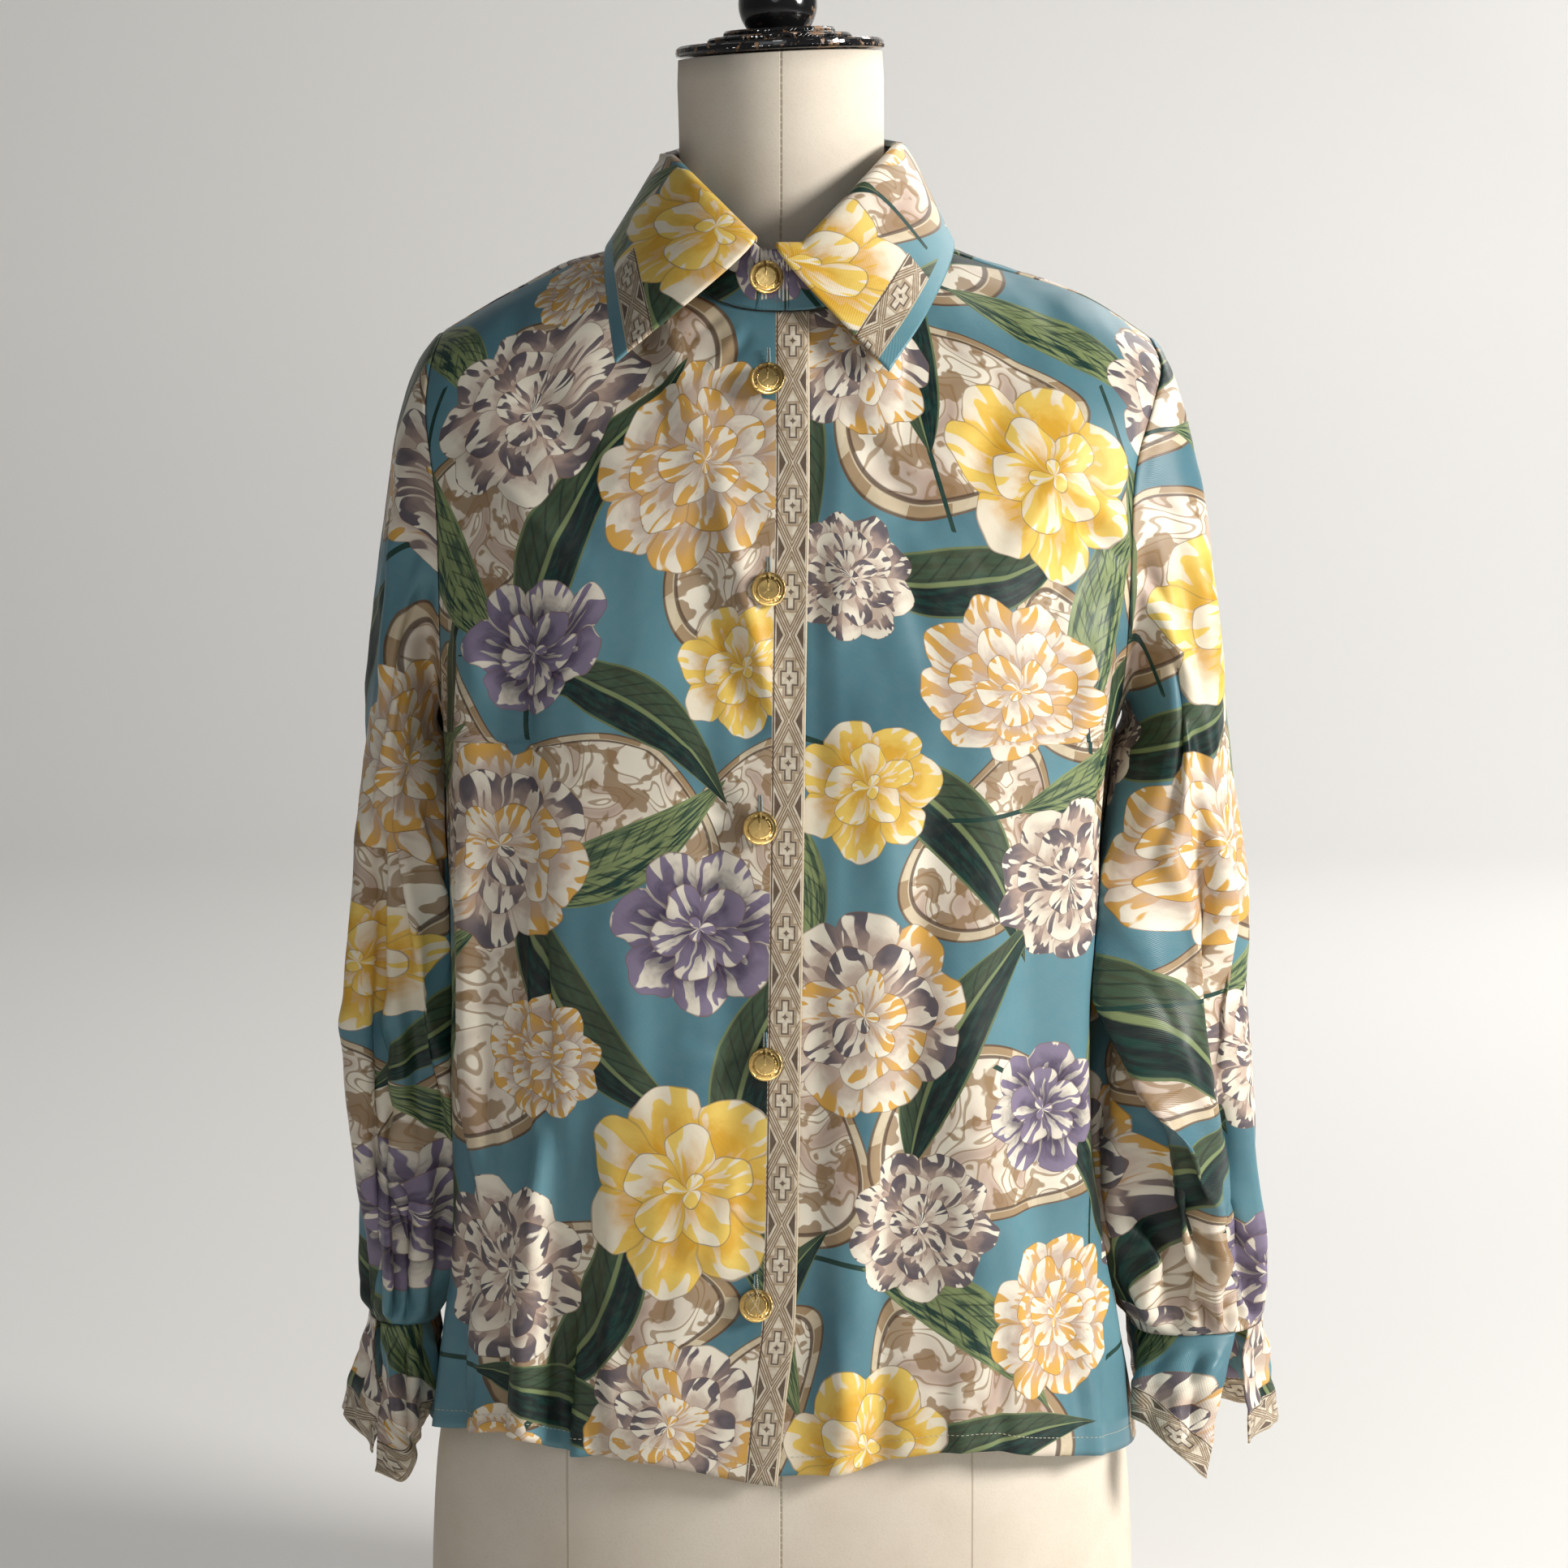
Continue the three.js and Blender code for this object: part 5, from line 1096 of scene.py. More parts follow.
def addSleeve(side, name, node, cuffName, cuffNode):
    points = sleeveGrid(side)
    normals = gridNormals(points, closed=True)
    centre = points.mean(1, keepdims=True)
    if np.mean(np.sum(normals * (points - centre), -1)) < 0:
        normals = -normals
    joined = np.concatenate([points, points[:, :1]], 1)
    u = lengthsAlong(joined, 1, 0)
    v = lengthsAlong(joined, 0, sleeves["turnOverRows"])
    u = u[sleeves["turnOverRows"]] + 0 * v  # the print hangs straight down from the cap
    turn = 360 * np.arange(sleeves["columns"])[None, :] / sleeves["columns"] + 0 * points[..., 2]
    depth = creaseDepth(creases[node], turn, points[..., 2], sleeves["foldRadius"]) * creases["strength"]
    depth = depth + crumple(u[:, :-1], v[:, :-1] + sleeves["crumpleShift"] * side,
                            creases["crumple"]) * sleeves["crumpleShare"]
    a, z = np.radians(turn), points[..., 2]
    low = z[-1:, :]
    reach = sleeves["puckerReach"] * (1 + sleeves["puckerUneven"] * np.sin(5 * a))
    pucker = 1 - ease(z, low + sleeves["puckerFrom"], low + reach)
    depth = depth + sleeves["pucker"] * np.sin(sleeves["puckerCount"] * a + 2 * np.sin(3 * a)) * pucker
    fromEnds = np.minimum(v[:, :-1] - v[:1, :-1], v[-1:, :-1] - v[:, :-1])
    dip = panels["seamDip"] * (1 - ease(fromEnds, 0, panels["seamWidth"]))
    points = points + normals * (depth * ease(fromEnds, 0, panels["creaseFade"]) - dip)[..., None]
    points = againstBody(side, points, turn)
    order = slice(None, None, -1) if side < 0 else slice(None)
    place = sleeves["printPlace"][side]
    piece = gridMesh(name, points[:, order], np.stack([u, -v], -1)[:, order], closed=True, place=place)
    wearing(piece, node, slot="silk")
    points = cuffGrid(side)
    u = lengthsAlong(points, 1, 0)
    v = lengthsAlong(points, 0, 0)
    turn = np.linspace(sleeves["cuffFrom"], sleeves["cuffTo"], sleeves["cuffColumns"])[None, :] + 0 * v
    depth = creaseDepth(creases[cuffNode], turn, v, sleeves["foldRadius"], wrap=False)
    depth = depth * sleeves["cuffFolds"]
    waves = crumple(u * 1.6, v * 2 + sleeves["cuffCrumpleShift"] * side, creases["crumple"])
    depth = (depth + waves * sleeves["cuffCrumple"]) * ease(v, 0, sleeves["cuffFade"])
    points = points + gridNormals(points) * depth[..., None]
    strip = stripAlong(v[-1:, :] - v, u)[:, order]
    piece = gridMesh(cuffName, points[:, order], np.stack([u, -v], -1)[:, order],
                     place=sleeves["cuffPrintPlace"], strip=strip, thickness=sleeves["cuffThickness"])
    wearing(piece, cuffNode, slot="silk")


addSleeve(-1, "SleeveRight", "sleeve_right", "CuffRight", "cuff_right")
addSleeve(1, "SleeveLeft", "sleeve_left", "CuffLeft", "cuff_left")


# Collar
print("collar")
collar = dict(
    sideReachRight=56, sideReachLeft=58, frontY=-75, backY=59, frontHeight=757, sideHeightRight=802,
    sideHeightLeft=807, backHeight=815, flatTo=10, standEnd=5, standRows=22, finer=8,
    bandWidth=8, trellisReach=62,
    roll=2.4, rollRise=0.45, rollSteps=7, rollFrom=180, rollTo=50,
    leafAway=0.77, leafFall=0.64, leafSpring=0.35, leafRows=60, clearance=3.4, footShare=0.8,
    leafFromRight=-12.5, leafFromLeft=-3, wall=1.4,
    rightLeaf=table("x y z", (-81, -98, 702), (-86, -62, 730), (-88, -12, 757), (-76, 34, 764),
                    (-44, 68, 762),
                    (0, 84, 757)),
    leftLeaf=table("x y z", (52, -100, 698), (70, -76, 724), (86, -20, 758), (77, 32, 766), (45, 68, 763),
                   (0, 84, 757)),
)


def necklinePath():  # from the right front's end round the back to the left front's end
    parts = []
    fine = collar["finer"]
    front = np.linspace(0, neckShares["front"], body["frontNeckColumns"] * fine + 1)
    behind = np.linspace(0, neckShares["back"], body["backNeckColumns"] * fine + 1)
    parts.append(panelCell("front", -1, front, 1.0))
    parts.append([part[::-1] for part in panelCell("back", -1, behind[1:], 1.0)])
    parts.append(panelCell("back", 1, behind, 1.0))
    parts.append([part[::-1] for part in panelCell("front", 1, front, 1.0)])
    points = np.concatenate([part[0] for part in parts])
    normals = np.concatenate([part[1] for part in parts])
    keep = points[:, 0] < collar["standEnd"]
    keep[len(points) // 4:] = True
    return points[keep], normals[keep]


def foldLine(points):
    neck = body["neckline"]
    x, y = points[:, 0], points[:, 1]
    right = x < 0
    reach = np.where(right, collar["sideReachRight"], collar["sideReachLeft"])
    sideHeight = np.where(right, collar["sideHeightRight"], collar["sideHeightLeft"])
    inFront = y < neck["sideY"]
    depth = np.where(inFront, neck["sideY"] - collar["frontY"], collar["backY"] - neck["sideY"])
    neckDepth = np.where(inFront, neck["sideY"] - neck["frontY"], neck["backY"] - neck["sideY"])
    across = x * reach / neck["side"]
    along = neck["sideY"] + (y - neck["sideY"]) * depth / neckDepth
    rise = np.maximum(np.abs(across) - collar["flatTo"], 0) / (reach - collar["flatTo"])
    front = mix(collar["frontHeight"], sideHeight, rise)
    behind = mix(collar["backHeight"], sideHeight, (np.abs(across) / reach) ** 2)
    return np.stack([across, along, np.where(inFront, front, behind)], -1)


def smoothPath(rows, count):  # a round curve through a table's points, evenly spaced
    points = np.array([[row["x"], row["y"], row["z"]] for row in rows], float)
    points = np.concatenate([[2 * points[0] - points[1]], points, [2 * points[-1] - points[-2]]])
    fine = []
    for a, b, c, d in zip(points, points[1:], points[2:], points[3:]):
        t1 = np.linalg.norm(b - a) ** 0.5
        t2 = np.linalg.norm(c - b) ** 0.5
        t3 = np.linalg.norm(d - c) ** 0.5
        startSlope = ((b - a) / t1 - (c - a) / (t1 + t2) + (c - b) / t2) * t2
        endSlope = ((c - b) / t2 - (d - b) / (t2 + t3) + (d - c) / t3) * t2
        f = np.linspace(0, 1, 60, endpoint=False)[:, None]
        fine.append(hermite(b, startSlope, c, endSlope, f))
    fine = np.concatenate([*fine, points[-2:-1]])
    length = np.concatenate([[0], np.cumsum(np.linalg.norm(np.diff(fine, axis=0), axis=1))])
    at = np.asarray(count) * length[-1]
    return np.stack([np.interp(at, length, fine[:, k]) for k in range(3)], -1)


def standGrid():
    points, normals = necklinePath()
    ahead = np.gradient(points, axis=0)
    out = unit(np.cross(ahead, normals))
    start = points + out * body["seamGap"]
    f = np.linspace(0, 1, collar["standRows"])[:, None, None]
    grid = mix(start, foldLine(points), f)
    return grid


def leafGrid(stand):
    top = stand[-1]
    ahead = np.gradient(top, axis=0)
    up = np.gradient(stand, axis=0)[-1]
    normal = unit(np.cross(up, ahead))
    centreBack = int(np.argmax(top[:, 1]))
    first = int(np.argmax(top[:, 0] < collar["leafFromRight"]))
    last = len(top) - 1 - int(np.argmax(top[::-1, 0] > collar["leafFromLeft"]))
    keep = np.arange(first, last + 1)
    right = keep <= centreBack
    share = np.where(right, (keep - first) / (centreBack - first), (last - keep) / (last - centreBack))
    rightFoot = smoothPath(collar["rightLeaf"], share)
    leftFoot = smoothPath(collar["leftLeaf"], share)
    foot = np.where(right[:, None], rightFoot, leftFoot)
    foot = liftedOff(foot, collar["clearance"])
    inner = top[keep] - normal[keep] * collar["wall"]
    out = unit(normal[keep] * [1, 1, 0])
    upward = np.array([0, 0, 1.0])
    centre = inner + upward * collar["rollRise"] + out * collar["roll"]
    roll = []
    for a in np.radians(np.linspace(collar["rollFrom"], collar["rollTo"], collar["rollSteps"])):
        roll.append(centre + out * collar["roll"] * math.cos(a) + upward * collar["roll"] * math.sin(a))
    start = roll[-1]
    length = np.linalg.norm(foot - start, axis=-1, keepdims=True)
    away = out * collar["leafAway"] - upward * collar["leafFall"]
    down = unit(foot - start)
    f = np.linspace(0, 1, collar["leafRows"] + 1)[1:, None, None]
    leaf = hermite(start, away * length * collar["leafSpring"], foot, down * length, f)
    leaf = liftedOff(leaf, collar["clearance"] * collar["footShare"])
    return np.concatenate([np.stack(roll), leaf])


stand = standGrid()
u, v = lengthsAlong(stand, 1, 0), lengthsAlong(stand, 0, 0)
clothPiece("CollarStand", "collar_stand", stand, u, v, (0.40, 0.05), 0.016, held="stretched",
           rests=("front_right", "front_left", "back"), place=(60, 420), thickness=1.0)
leaf = leafGrid(stand)
u, v = lengthsAlong(leaf, 1, leaf.shape[1] // 2), lengthsAlong(leaf, 0, 0)
edge = u[-1:, :] + 0 * u
ends = np.minimum(edge - edge[:, :1], edge[:, -1:] - edge)
fromEdge = v[-1:, :] - v - collar["bandWidth"]
shown = 0.5 + 0.5 * (ends < collar["trellisReach"])
clothPiece("Collar", "collar", leaf[:, ::-1], u[:, ::-1], -v[:, ::-1], (0.44, 0.09), 0.031, held="folded",
           rests=("collar_stand",), place=(150, 560), thickness=1.1,
           strip=stripAlong(fromEdge, edge, shown)[:, ::-1])


# Rigid pieces are modelled in edit mode, in metres
def editing(piece):
    bpy.ops.object.select_all(action="DESELECT")
    bpy.context.view_layer.objects.active = piece
    piece.select_set(True)
    bpy.ops.object.mode_set(mode="EDIT")
    bpy.ops.mesh.select_mode(type="FACE")


def doneEditing():
    bpy.ops.object.mode_set(mode="OBJECT")
    bpy.ops.object.select_all(action="DESELECT")


def selectTop(piece):  # the highest level face
    bpy.ops.object.mode_set(mode="OBJECT")
    faces = piece.data.polygons
    highest = max(face.center.z for face in faces if face.normal.z > 0.9)
    for face in faces:
        face.select = face.normal.z > 0.9 and face.center.z > highest - 1e-6
    bpy.ops.object.mode_set(mode="EDIT")


def raiseTop(radius, newRadius, rise):  # extrude the chosen top face to a new radius and height
    bpy.ops.mesh.extrude_region_move(TRANSFORM_OT_translate={"value": (0, 0, rise * mm)})
    if radius != newRadius:
        share = newRadius / radius
        bpy.ops.transform.resize(value=(share, share, 1), center_override=(0, 0, 0))


def turnedPiece(name, profile, sides):  # a turned solid, from a cylinder extruded step by step
    first = profile[0]
    bpy.ops.mesh.primitive_cylinder_add(
        vertices=sides, radius=first["radius"] * mm, depth=0.4 * mm,
        location=(0, 0, (first["height"] + 0.2) * mm))
    piece = bpy.context.object
    piece.name = piece.data.name = name
    bpy.ops.object.transform_apply(location=True, rotation=False, scale=False)
    editing(piece)
    selectTop(piece)
    radius, height = first["radius"], first["height"] + 0.4
    for row in profile[1:]:
        raiseTop(radius, row["radius"], row["height"] - height)
        radius, height = row["radius"], row["height"]
    doneEditing()
    return piece


def bevelEdges(piece, width, segments=3, angle=25):
    bevel = piece.modifiers.new("bevel", "BEVEL")
    bevel.width = width * mm
    bevel.segments = segments
    bevel.limit_method = "ANGLE"
    bevel.angle_limit = math.radians(angle)
    applyModifiers(piece)
    shadeByAngle(piece, 40)


def shadeByAngle(piece, angle):
    bpy.context.view_layer.objects.active = piece
    piece.select_set(True)
    bpy.ops.object.shade_smooth_by_angle(angle=math.radians(angle))
    piece.select_set(False)


def placed(piece, matrix):  # move the mesh itself, so the object stays at the origin
    piece.data.transform(matrix)
    piece.data.update()


def joinPieces(name, pieces):
    bpy.ops.object.select_all(action="DESELECT")
    for piece in pieces:
        piece.select_set(True)
    bpy.context.view_layer.objects.active = pieces[0]
    bpy.ops.object.join()
    made = bpy.context.object
    made.name = made.data.name = name
    bpy.ops.object.select_all(action="DESELECT")
    return made


# Dress form
print("dress form")
form = dict(
    frontSeam=-0.0006, princess=(-0.109, 0.096), seamFade=0.19, stitchesPerMetre=260,
    tilt=2.7, top=854.7, shift=-1.0,
    capProfile=table(
        "radius height",
        (51.2, 0), (52.6, 0.9), (52.9, 2.2), (52.6, 3.9), (51, 5.2), (44, 5.5), (37, 5.8), (36.6, 6.2),
        (36.6, 7.6),
        (35.4, 8.6), (31, 9.0), (28.6, 9.2), (28.3, 9.6), (28.3, 10.8), (27.4, 11.9),
    ),
    capSides=96, capBevel=0.35, capTop=11.9, gap=0.3,
    finialRadius=20, finialFoot=15.8, finialCut=0.9, finialBevel=0.3,
)


finishes = dict(
    canvas=paint(229, 218, 201), canvasStain=paint(219, 205, 187), canvasThread=paint(199, 186, 165),
    canvasSeam=paint(150, 132, 104), black=(0.008, 0.0075, 0.008), bareWood=paint(150, 116, 84),
    gilt=paint(232, 198, 128), giltTarnish=paint(190, 146, 78), giltHollow=paint(120, 84, 40),
)


def makeCanvas():
    t = Tree("Canvas")
    place = t.node("ShaderNodeTexCoord", {}, out=3)
    x, y, z = t.split(place)
    threads = ((x * 9000).math("SINE") * (z * 9000).math("SINE"))
    stains = t.noise(place, 9.0, detail=4.0, rough=0.6)
    fine = t.noise(place, 900.0, detail=2.0)
    front = y < 0
    dashes = t.smooth(abs((z * form["stitchesPerMetre"]).math("FRACT") - 0.5), 0.42, 0.34) * 0.6 + 0.4
    seam = t.smooth(abs(x - form["frontSeam"]), 0.0008, 0.0003) * front * dashes
    for seamX in form["princess"]:
        side = t.smooth(abs(x - seamX), 0.0008, 0.0003) * front * (z < form["seamFade"])
        seam = seam.math("MAXIMUM", side * 0.7)
    color = t.blend(t.smooth(stains, 0.35, 0.7), finishes["canvas"], finishes["canvasStain"])
    color = t.blend(t.smooth(fine, 0.45, 0.75) * 0.2, color, finishes["canvasThread"])
    color = t.blend(seam * 0.6, color, finishes["canvasSeam"])
    normal = t.bump(threads * 0.4 + fine - seam * 3, 0.00018, strength=0.5)
    return t.finish(Base_Color=color, Roughness=0.86, Normal=normal, Specular_IOR_Level=0.3)


def makeBlackGloss():
    t = Tree("BlackGloss")
    place = t.node("ShaderNodeTexCoord", {}, out=3)
    geometry = t.node("ShaderNodeNewGeometry", {}, out=7)
    worn = t.noise(place, 130.0, detail=4.0, rough=0.65)
    edges = t.smooth(geometry, 0.515, 0.56)
    patches = t.smooth(t.noise(place, 55.0, detail=3.0), 0.62, 0.66)
    chips = (edges * t.smooth(worn, 0.56, 0.6)).math("MAXIMUM", patches * t.smooth(worn, 0.5, 0.54))
    color = t.blend(chips, finishes["black"], finishes["bareWood"])
    rough = chips * 0.4 + t.smooth(t.noise(place, 260.0, detail=2.0), 0.4, 0.7) * 0.06 + 0.1
    normal = t.bump(t.noise(place, 170.0, detail=3.0) - chips * 0.6, 0.0003, strength=0.35)
    return t.finish(Base_Color=color, Roughness=rough, Normal=normal, Specular_IOR_Level=0.6)


def makeGilt():
    t = Tree("Gilt")
    place = t.node("ShaderNodeTexCoord", {}, out=3)
    tarnish = t.noise(place, 420.0, detail=3.0)
    hollow = t.smooth(t.node("ShaderNodeNewGeometry", {}, out=7), 0.5, 0.47)
    color = t.blend(t.smooth(tarnish, 0.4, 0.8) * 0.3, finishes["gilt"], finishes["giltTarnish"])
    color = t.blend(hollow * 0.35, color, finishes["giltHollow"])
    rough = t.smooth(tarnish, 0.35, 0.7) * 0.12 + 0.28
    normal = t.bump(t.noise(place, 2600.0, detail=2.0), 0.00003, strength=0.4)
    return t.finish(Base_Color=color, Roughness=rough, Normal=normal, Metallic=1.0)


canvas = makeCanvas()
blackGloss = makeBlackGloss()
gilt = makeGilt()


def copyOfNode(name, node):
    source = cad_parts[node]
    mesh = source.data.copy()
    mesh.materials.clear()
    piece = bpy.data.objects.new(name, mesh)
    bpy.context.scene.collection.objects.link(piece)
    return piece


def addTorso():  # the form's solid, merged and rounded
    piece = copyOfNode("DressForm", "form_torso")
    editing(piece)
    bpy.ops.mesh.select_all(action="SELECT")
    bpy.ops.mesh.remove_doubles(threshold=0.00002)
    bpy.ops.mesh.tris_convert_to_quads(face_threshold=math.radians(60), shape_threshold=math.radians(60))
    bpy.ops.mesh.select_mode(type="EDGE")
    bpy.ops.mesh.select_all(action="DESELECT")
    bpy.ops.mesh.edges_select_sharp(sharpness=math.radians(55))
    bpy.ops.transform.edge_crease(value=0.97)
    doneEditing()
    rounded = piece.modifiers.new("rounded", "SUBSURF")
    rounded.levels = rounded.render_levels = 2
    applyModifiers(piece)
    shadeByAngle(piece, 50)
    piece.data.materials.append(canvas)
    wearing(piece, "form_torso", slot="canvas")


def onNeck(piece, lift):  # set a turned piece on the tilted top of the neck
    tilt = Matrix.Rotation(-math.radians(form["tilt"]), 4, "Y")
    up = Matrix.Translation((0, 0, lift * mm))
    placed(piece, Matrix.Translation((form["shift"] * mm, 0, (form["top"] + form["gap"]) * mm)) @ tilt @ up)


def addCap():
    cap = turnedPiece("NeckCap", form["capProfile"], form["capSides"])
    bevelEdges(cap, form["capBevel"], angle=35)
    onNeck(cap, 0)
    cap.data.materials.append(blackGloss)
    wearing(cap, "form_neck_cap", slot="black_gloss")


def addFinial():
    radius, foot = form["finialRadius"], form["finialFoot"]
    centre = math.sqrt(radius ** 2 - foot ** 2)
    bpy.ops.mesh.primitive_uv_sphere_add(segments=96, ring_count=64, radius=radius * mm,
                                         location=(0, 0, centre * mm))
    ball = bpy.context.object
    ball.name = ball.data.name = "NeckKnob"
    bpy.ops.object.transform_apply(location=True, rotation=False, scale=False)
    editing(ball)
    bpy.ops.mesh.select_all(action="SELECT")
    cut = form["finialCut"] * mm
    bpy.ops.mesh.bisect(plane_co=(0, 0, cut), plane_no=(0, 0, 1), use_fill=True, clear_inner=True)
    bpy.ops.mesh.extrude_region_move(TRANSFORM_OT_translate={"value": (0, 0, -cut)})
    bpy.ops.transform.resize(value=(0.97, 0.97, 1), center_override=(0, 0, 0))
    doneEditing()
    bevelEdges(ball, form["finialBevel"], angle=30)
    onNeck(ball, form["capTop"] + form["gap"])
    ball.data.materials.append(blackGloss)
    wearing(ball, "form_finial", slot="black_gloss")


addTorso()
addCap()
addFinial()

# Buttons, buttonholes and threads
print("buttons and threads")
buttons = dict(
    sides=60, height=5.3, bevel=0.16, shankRadius=2.4, shankHeight=1.7,
    profile=table(
        "radius height",
        (7.4, 1.6), (8.2, 2.3), (8.4, 3.1), (8.2, 3.8), (7.8, 4.05), (7.4, 4.0), (7.1, 3.75), (5.4, 4.0),
        (5.2, 4.2),
        (4.95, 4.22), (4.75, 4.06), (3.4, 4.2), (1.8, 4.3), (0.7, 4.34),
    ),
    tilt={"button_6": (-9, 6), "button_4": (3, -2), "button_5": (-3, 3)},
    firstNormal=(0, -0.97, 0.24),
    holeLength=19, holeBelow=0.18, holeWidth=1.0, holeStitches=42, holeLift=0.15,
    tealThread=paint(158, 190, 196), creamThread=paint(214, 206, 182), brownThread=paint(128, 104, 76),
    holeThread=0.2, slitThread=0.28, looseThread=0.14,
    hemThread=0.2, hemStep=2.6, hemStitch=1.7, hemLift=0.12,
    strands=table(
        "x1 z1 x2 z2 x3 z3 out",
        (-4, 8, 0, 2, 5, -6, 1.2), (3, 9, -1, 0, -4, -4, 0.9), (-1, 12, 2, 5, 1, -2, 1.5),
        (-5, 3, -2, 6, 2, 9, 1.0),
    ),
)


def surfaceUnder(point):  # nearest point of the body and its outward normal
    nearest = bodyTree.find(point)[1]
    return Vector(bodyPoints[nearest]), Vector(bodyNormals[nearest])


def standing(base, normal, turn=(0, 0)):  # a frame whose Z leaves the cloth and whose Y runs up it
    up = Vector((0, 0, 1))
    x = up.cross(normal).normalized()
    y = normal.cross(x)
    place = Matrix.Translation(base * mm) @ Matrix((x, y, normal)).transposed().to_4x4()
    place = place @ Matrix.Rotation(math.radians(turn[0]), 4, "X")
    return place @ Matrix.Rotation(math.radians(turn[1]), 4, "Y")


def buttonFrame(node):
    low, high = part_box(node)
    middle = (Vector(low) + Vector(high)) / 2 / mm
    normal = surfaceUnder(middle)[1]
    if node == "button_1":
        normal = Vector(buttons["firstNormal"]).normalized()
    return middle - normal * buttons["height"] / 2, normal


def addButtons():
    first = turnedPiece("ButtonFace", buttons["profile"], buttons["sides"])
    height = buttons["shankHeight"] * mm
    bpy.ops.mesh.primitive_cylinder_add(vertices=24, radius=buttons["shankRadius"] * mm, depth=height,
                                        location=(0, 0, height / 2))
    shank = bpy.context.object
    bpy.ops.object.transform_apply(location=True, rotation=False, scale=False)
    first = joinPieces("ButtonFace", [first, shank])
    bevelEdges(first, buttons["bevel"], segments=2, angle=18)
    first.data.materials.append(gilt)
    for k in range(1, 7):
        node = f"button_{k}"
        piece = first if k == 6 else bpy.data.objects.new("", first.data.copy())
        if k < 6:
            bpy.context.scene.collection.objects.link(piece)
        piece.name = piece.data.name = f"Button{k}"
        base, normal = buttonFrame(node)
        placed(piece, standing(base, normal, buttons["tilt"].get(node, (0, 0))))
        wearing(piece, node, slot="gilt")


threadRandom = np.random.RandomState(11)


def stitchMesh(name, segments, radius, material):  # short round threads between pairs of points
    sides = 6
    around = [(math.cos(a), math.sin(a)) for a in np.arange(sides) * 2 * math.pi / sides]
    vertices, faces = [], []
    for start, end in segments:
        axis = Vector(end) - Vector(start)
        x = axis.orthogonal().normalized()
        y = axis.cross(x).normalized()
        first = len(vertices)
        for share, size in ((0, 0.35), (0.18, 0.9), (0.5, 1), (0.82, 0.9), (1, 0.35)):
            centre = Vector(start) + axis * share
            vertices += [(centre + (x * c + y * s) * radius * size) * mm for c, s in around]
        for ring in range(4):
            for k in range(sides):
                a = first + ring * sides + k
                b = first + ring * sides + (k + 1) % sides
                faces.append((a, b, b + sides, a + sides))
        faces.append(tuple(first + k for k in reversed(range(sides))))
        faces.append(tuple(first + 4 * sides + k for k in range(sides)))
    mesh = bpy.data.meshes.new(name)
    mesh.from_pydata(vertices, [], faces)
    mesh.shade_smooth()
    mesh.materials.append(material)
    piece = bpy.data.objects.new(name, mesh)
    bpy.context.scene.collection.objects.link(piece)
    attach(piece, "root")
    return piece


def makeThread(name, color):
    t = Tree(name)
    place = t.node("ShaderNodeTexCoord", {}, out=3)
    fibre = t.noise(place, 1500.0, detail=2.0)
    tone = t.blend(t.smooth(fibre, 0.3, 0.7) * 0.5, color, tuple(c * 0.55 for c in color))
    return t.finish(Base_Color=tone, Roughness=0.6, Normal=t.bump(fibre, 0.00005, strength=0.5))


tealThread = makeThread("TealThread", buttons["tealThread"])
creamThread = makeThread("CreamThread", buttons["creamThread"])
brownThread = makeThread("BrownThread", buttons["brownThread"])


def addButtonholes():
    segments, slits = [], []
    for k in range(2, 7):
        base, _ = buttonFrame(f"button_{k}")
        slit = []
        for share in np.arange(buttons["holeStitches"]) / (buttons["holeStitches"] - 1):
            y = (share - buttons["holeBelow"]) * buttons["holeLength"]
            centre, n = surfaceUnder(base + Vector((0, 0, y)))
            centre = centre + Vector((base.x - centre.x, 0, base.z + y - centre.z))
            out = centre + n * buttons["holeLift"]
            slit.append(out)
            for side in (-1, 1):
                wide = buttons["holeWidth"] * (0.55 + 0.45 * math.sin(math.pi * share))
                a = out + Vector((side * (0.18 + wide * 0.25), 0, 0)) + n * 0.25
                b = out + Vector((side * (wide + 0.35), 0, threadRandom.uniform(-0.15, 0.15)))
                segments.append((a, b))
        slits += list(zip(slit, slit[1:]))
    stitchMesh("Buttonholes", segments, buttons["holeThread"], tealThread)
    stitchMesh("ButtonholeSlits", slits, buttons["slitThread"], brownThread)


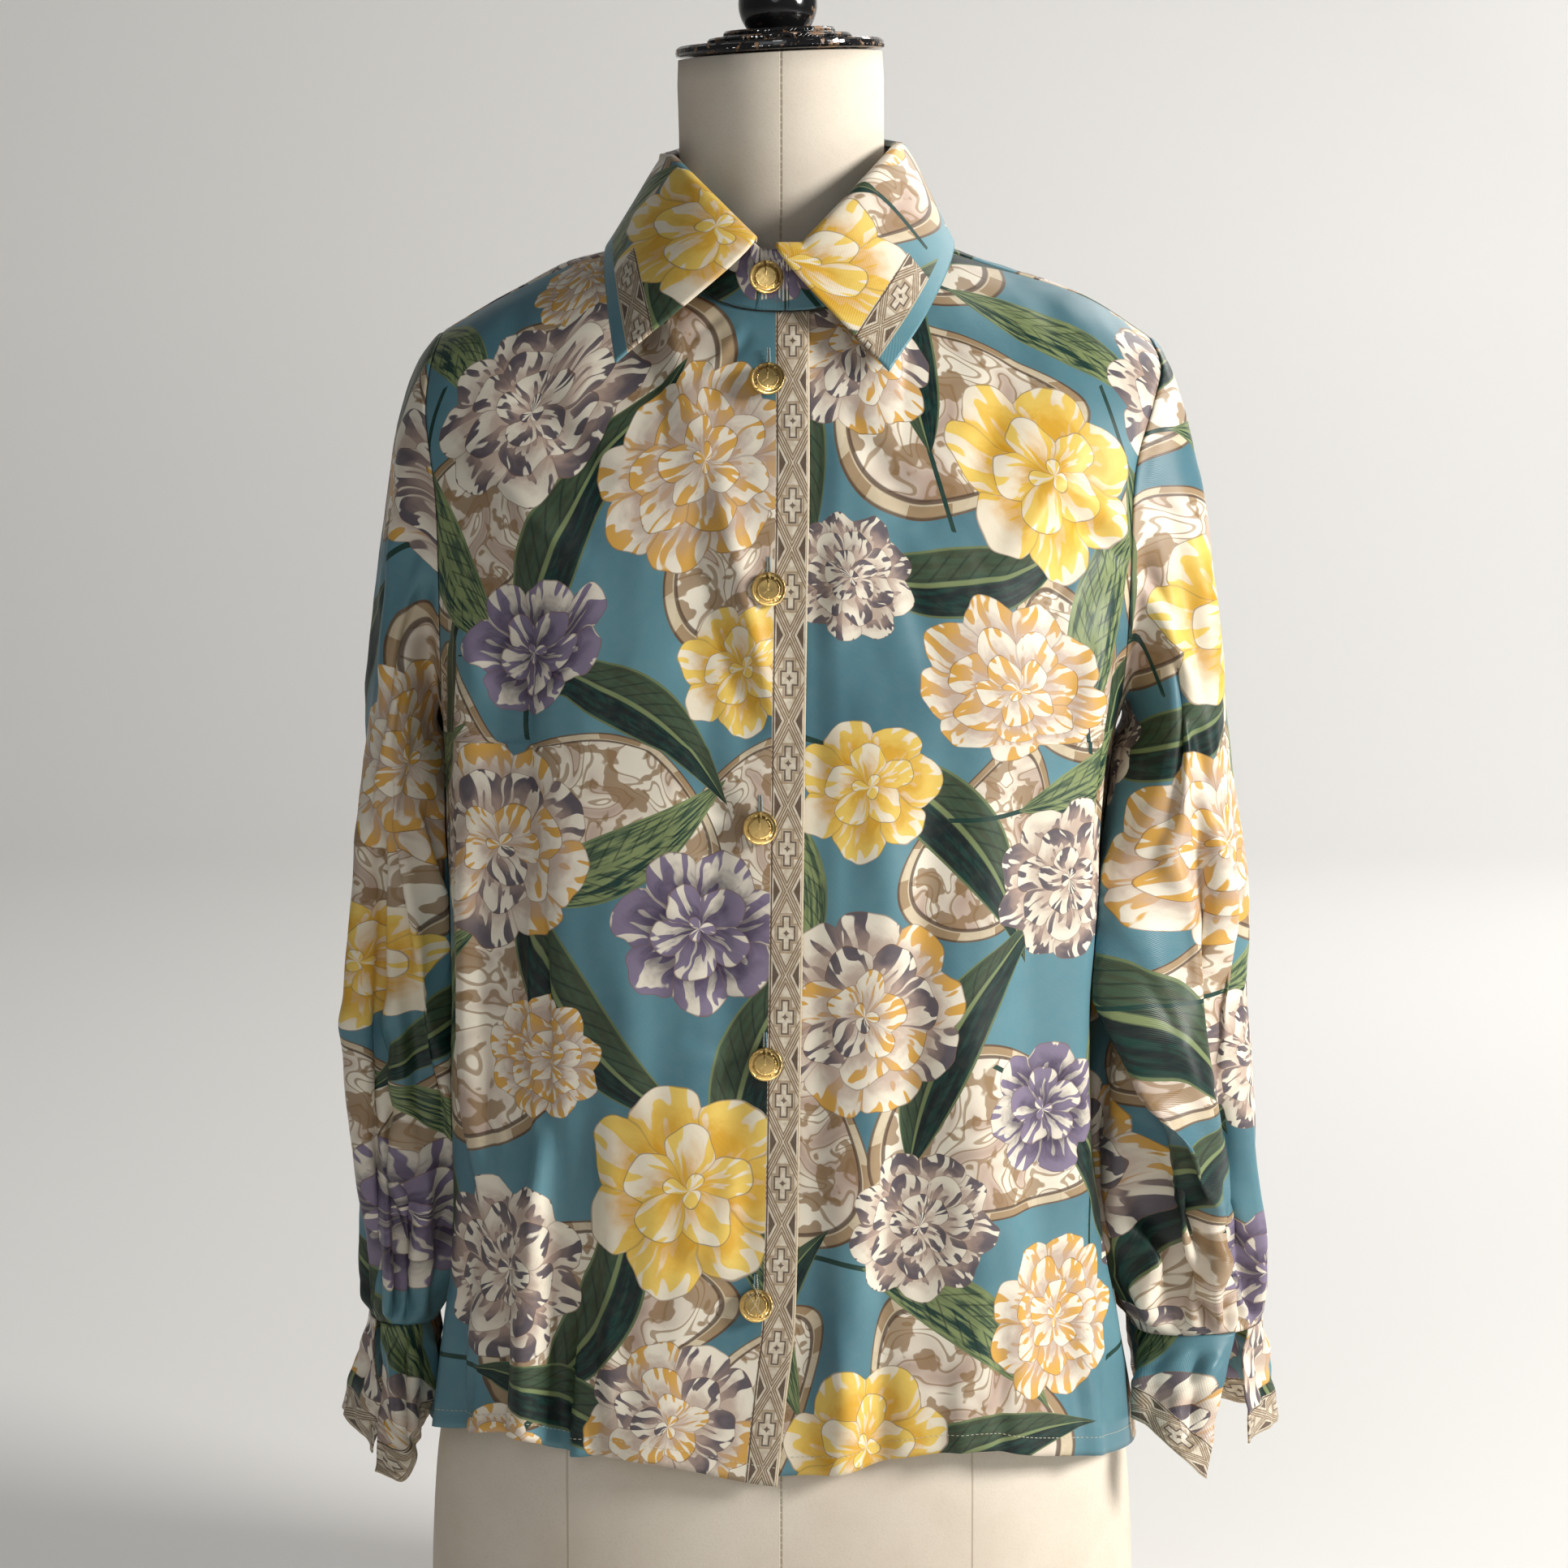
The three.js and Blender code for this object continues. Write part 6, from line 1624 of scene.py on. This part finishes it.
def addLooseThreads():
    base, normal = buttonFrame("button_6")
    top = base + normal * (buttons["height"] - 0.3)
    strands = []
    for row in buttons["strands"]:
        line = [top + Vector((row["x1"], 0, row["z1"])), top + Vector((row["x2"], -row["out"], row["z2"])),
                top + Vector((row["x3"], -row["out"] * 0.4, row["z3"]))]
        fine = smoothPath([dict(x=p.x, y=p.y, z=p.z) for p in line], np.linspace(0, 1, 9))
        strands += list(zip(fine, fine[1:]))
    stitchMesh("LooseThreads", strands, buttons["looseThread"], creamThread)


def addHemStitches():
    segments = []
    for points, normals, _, _ in (frontRight, frontLeft, back):
        rise = lengthsAlong(points, 0, 0)
        row = int(np.argmax(rise[:, 0] > panels["hemDepth"]))
        line, out = points[row], normals[row]
        length = lengthsAlong(line[None], 1, 0)[0]
        at = np.arange(2, length[-1] - 2, buttons["hemStep"])
        starts = np.stack([np.interp(at, length, line[:, k]) for k in range(3)], -1)
        ends = np.stack([np.interp(at + buttons["hemStitch"], length, line[:, k]) for k in range(3)], -1)
        lift = np.stack([np.interp(at, length, out[:, k]) for k in range(3)], -1) * buttons["hemLift"]
        segments += [(a + n, b + n) for a, b, n in zip(starts, ends, lift)]
    stitchMesh("HemStitches", segments, buttons["hemThread"], creamThread)


addButtons()
addButtonholes()
addLooseThreads()
addHemStitches()

# Floor and backdrop, one pale sweep
print("floor")


def addFloor():
    bend = view["wallBend"]
    outline = [(view["floorFrom"], 0), (view["wallAt"] - bend, 0)]
    for k in range(1, view["bendSteps"] + 1):
        a = math.pi / 2 * k / view["bendSteps"]
        outline.append((view["wallAt"] - bend + bend * math.sin(a), bend - bend * math.cos(a)))
    outline.append((view["wallAt"], view["wallTop"]))
    corners = [(x, y, z) for y, z in outline for x in (-view["width"], view["width"])]
    faces = [(2 * k, 2 * k + 1, 2 * k + 3, 2 * k + 2) for k in range(len(outline) - 1)]
    mesh = bpy.data.meshes.new("Floor")
    mesh.from_pydata(corners, [], faces)
    mesh.shade_smooth()
    floor = bpy.data.objects.new("Floor", mesh)
    bpy.context.scene.collection.objects.link(floor)
    pale = Tree("Floor").finish(Base_Color=view["floorColor"], Roughness=view["floorRoughness"])
    mesh.materials.append(pale)


addFloor()
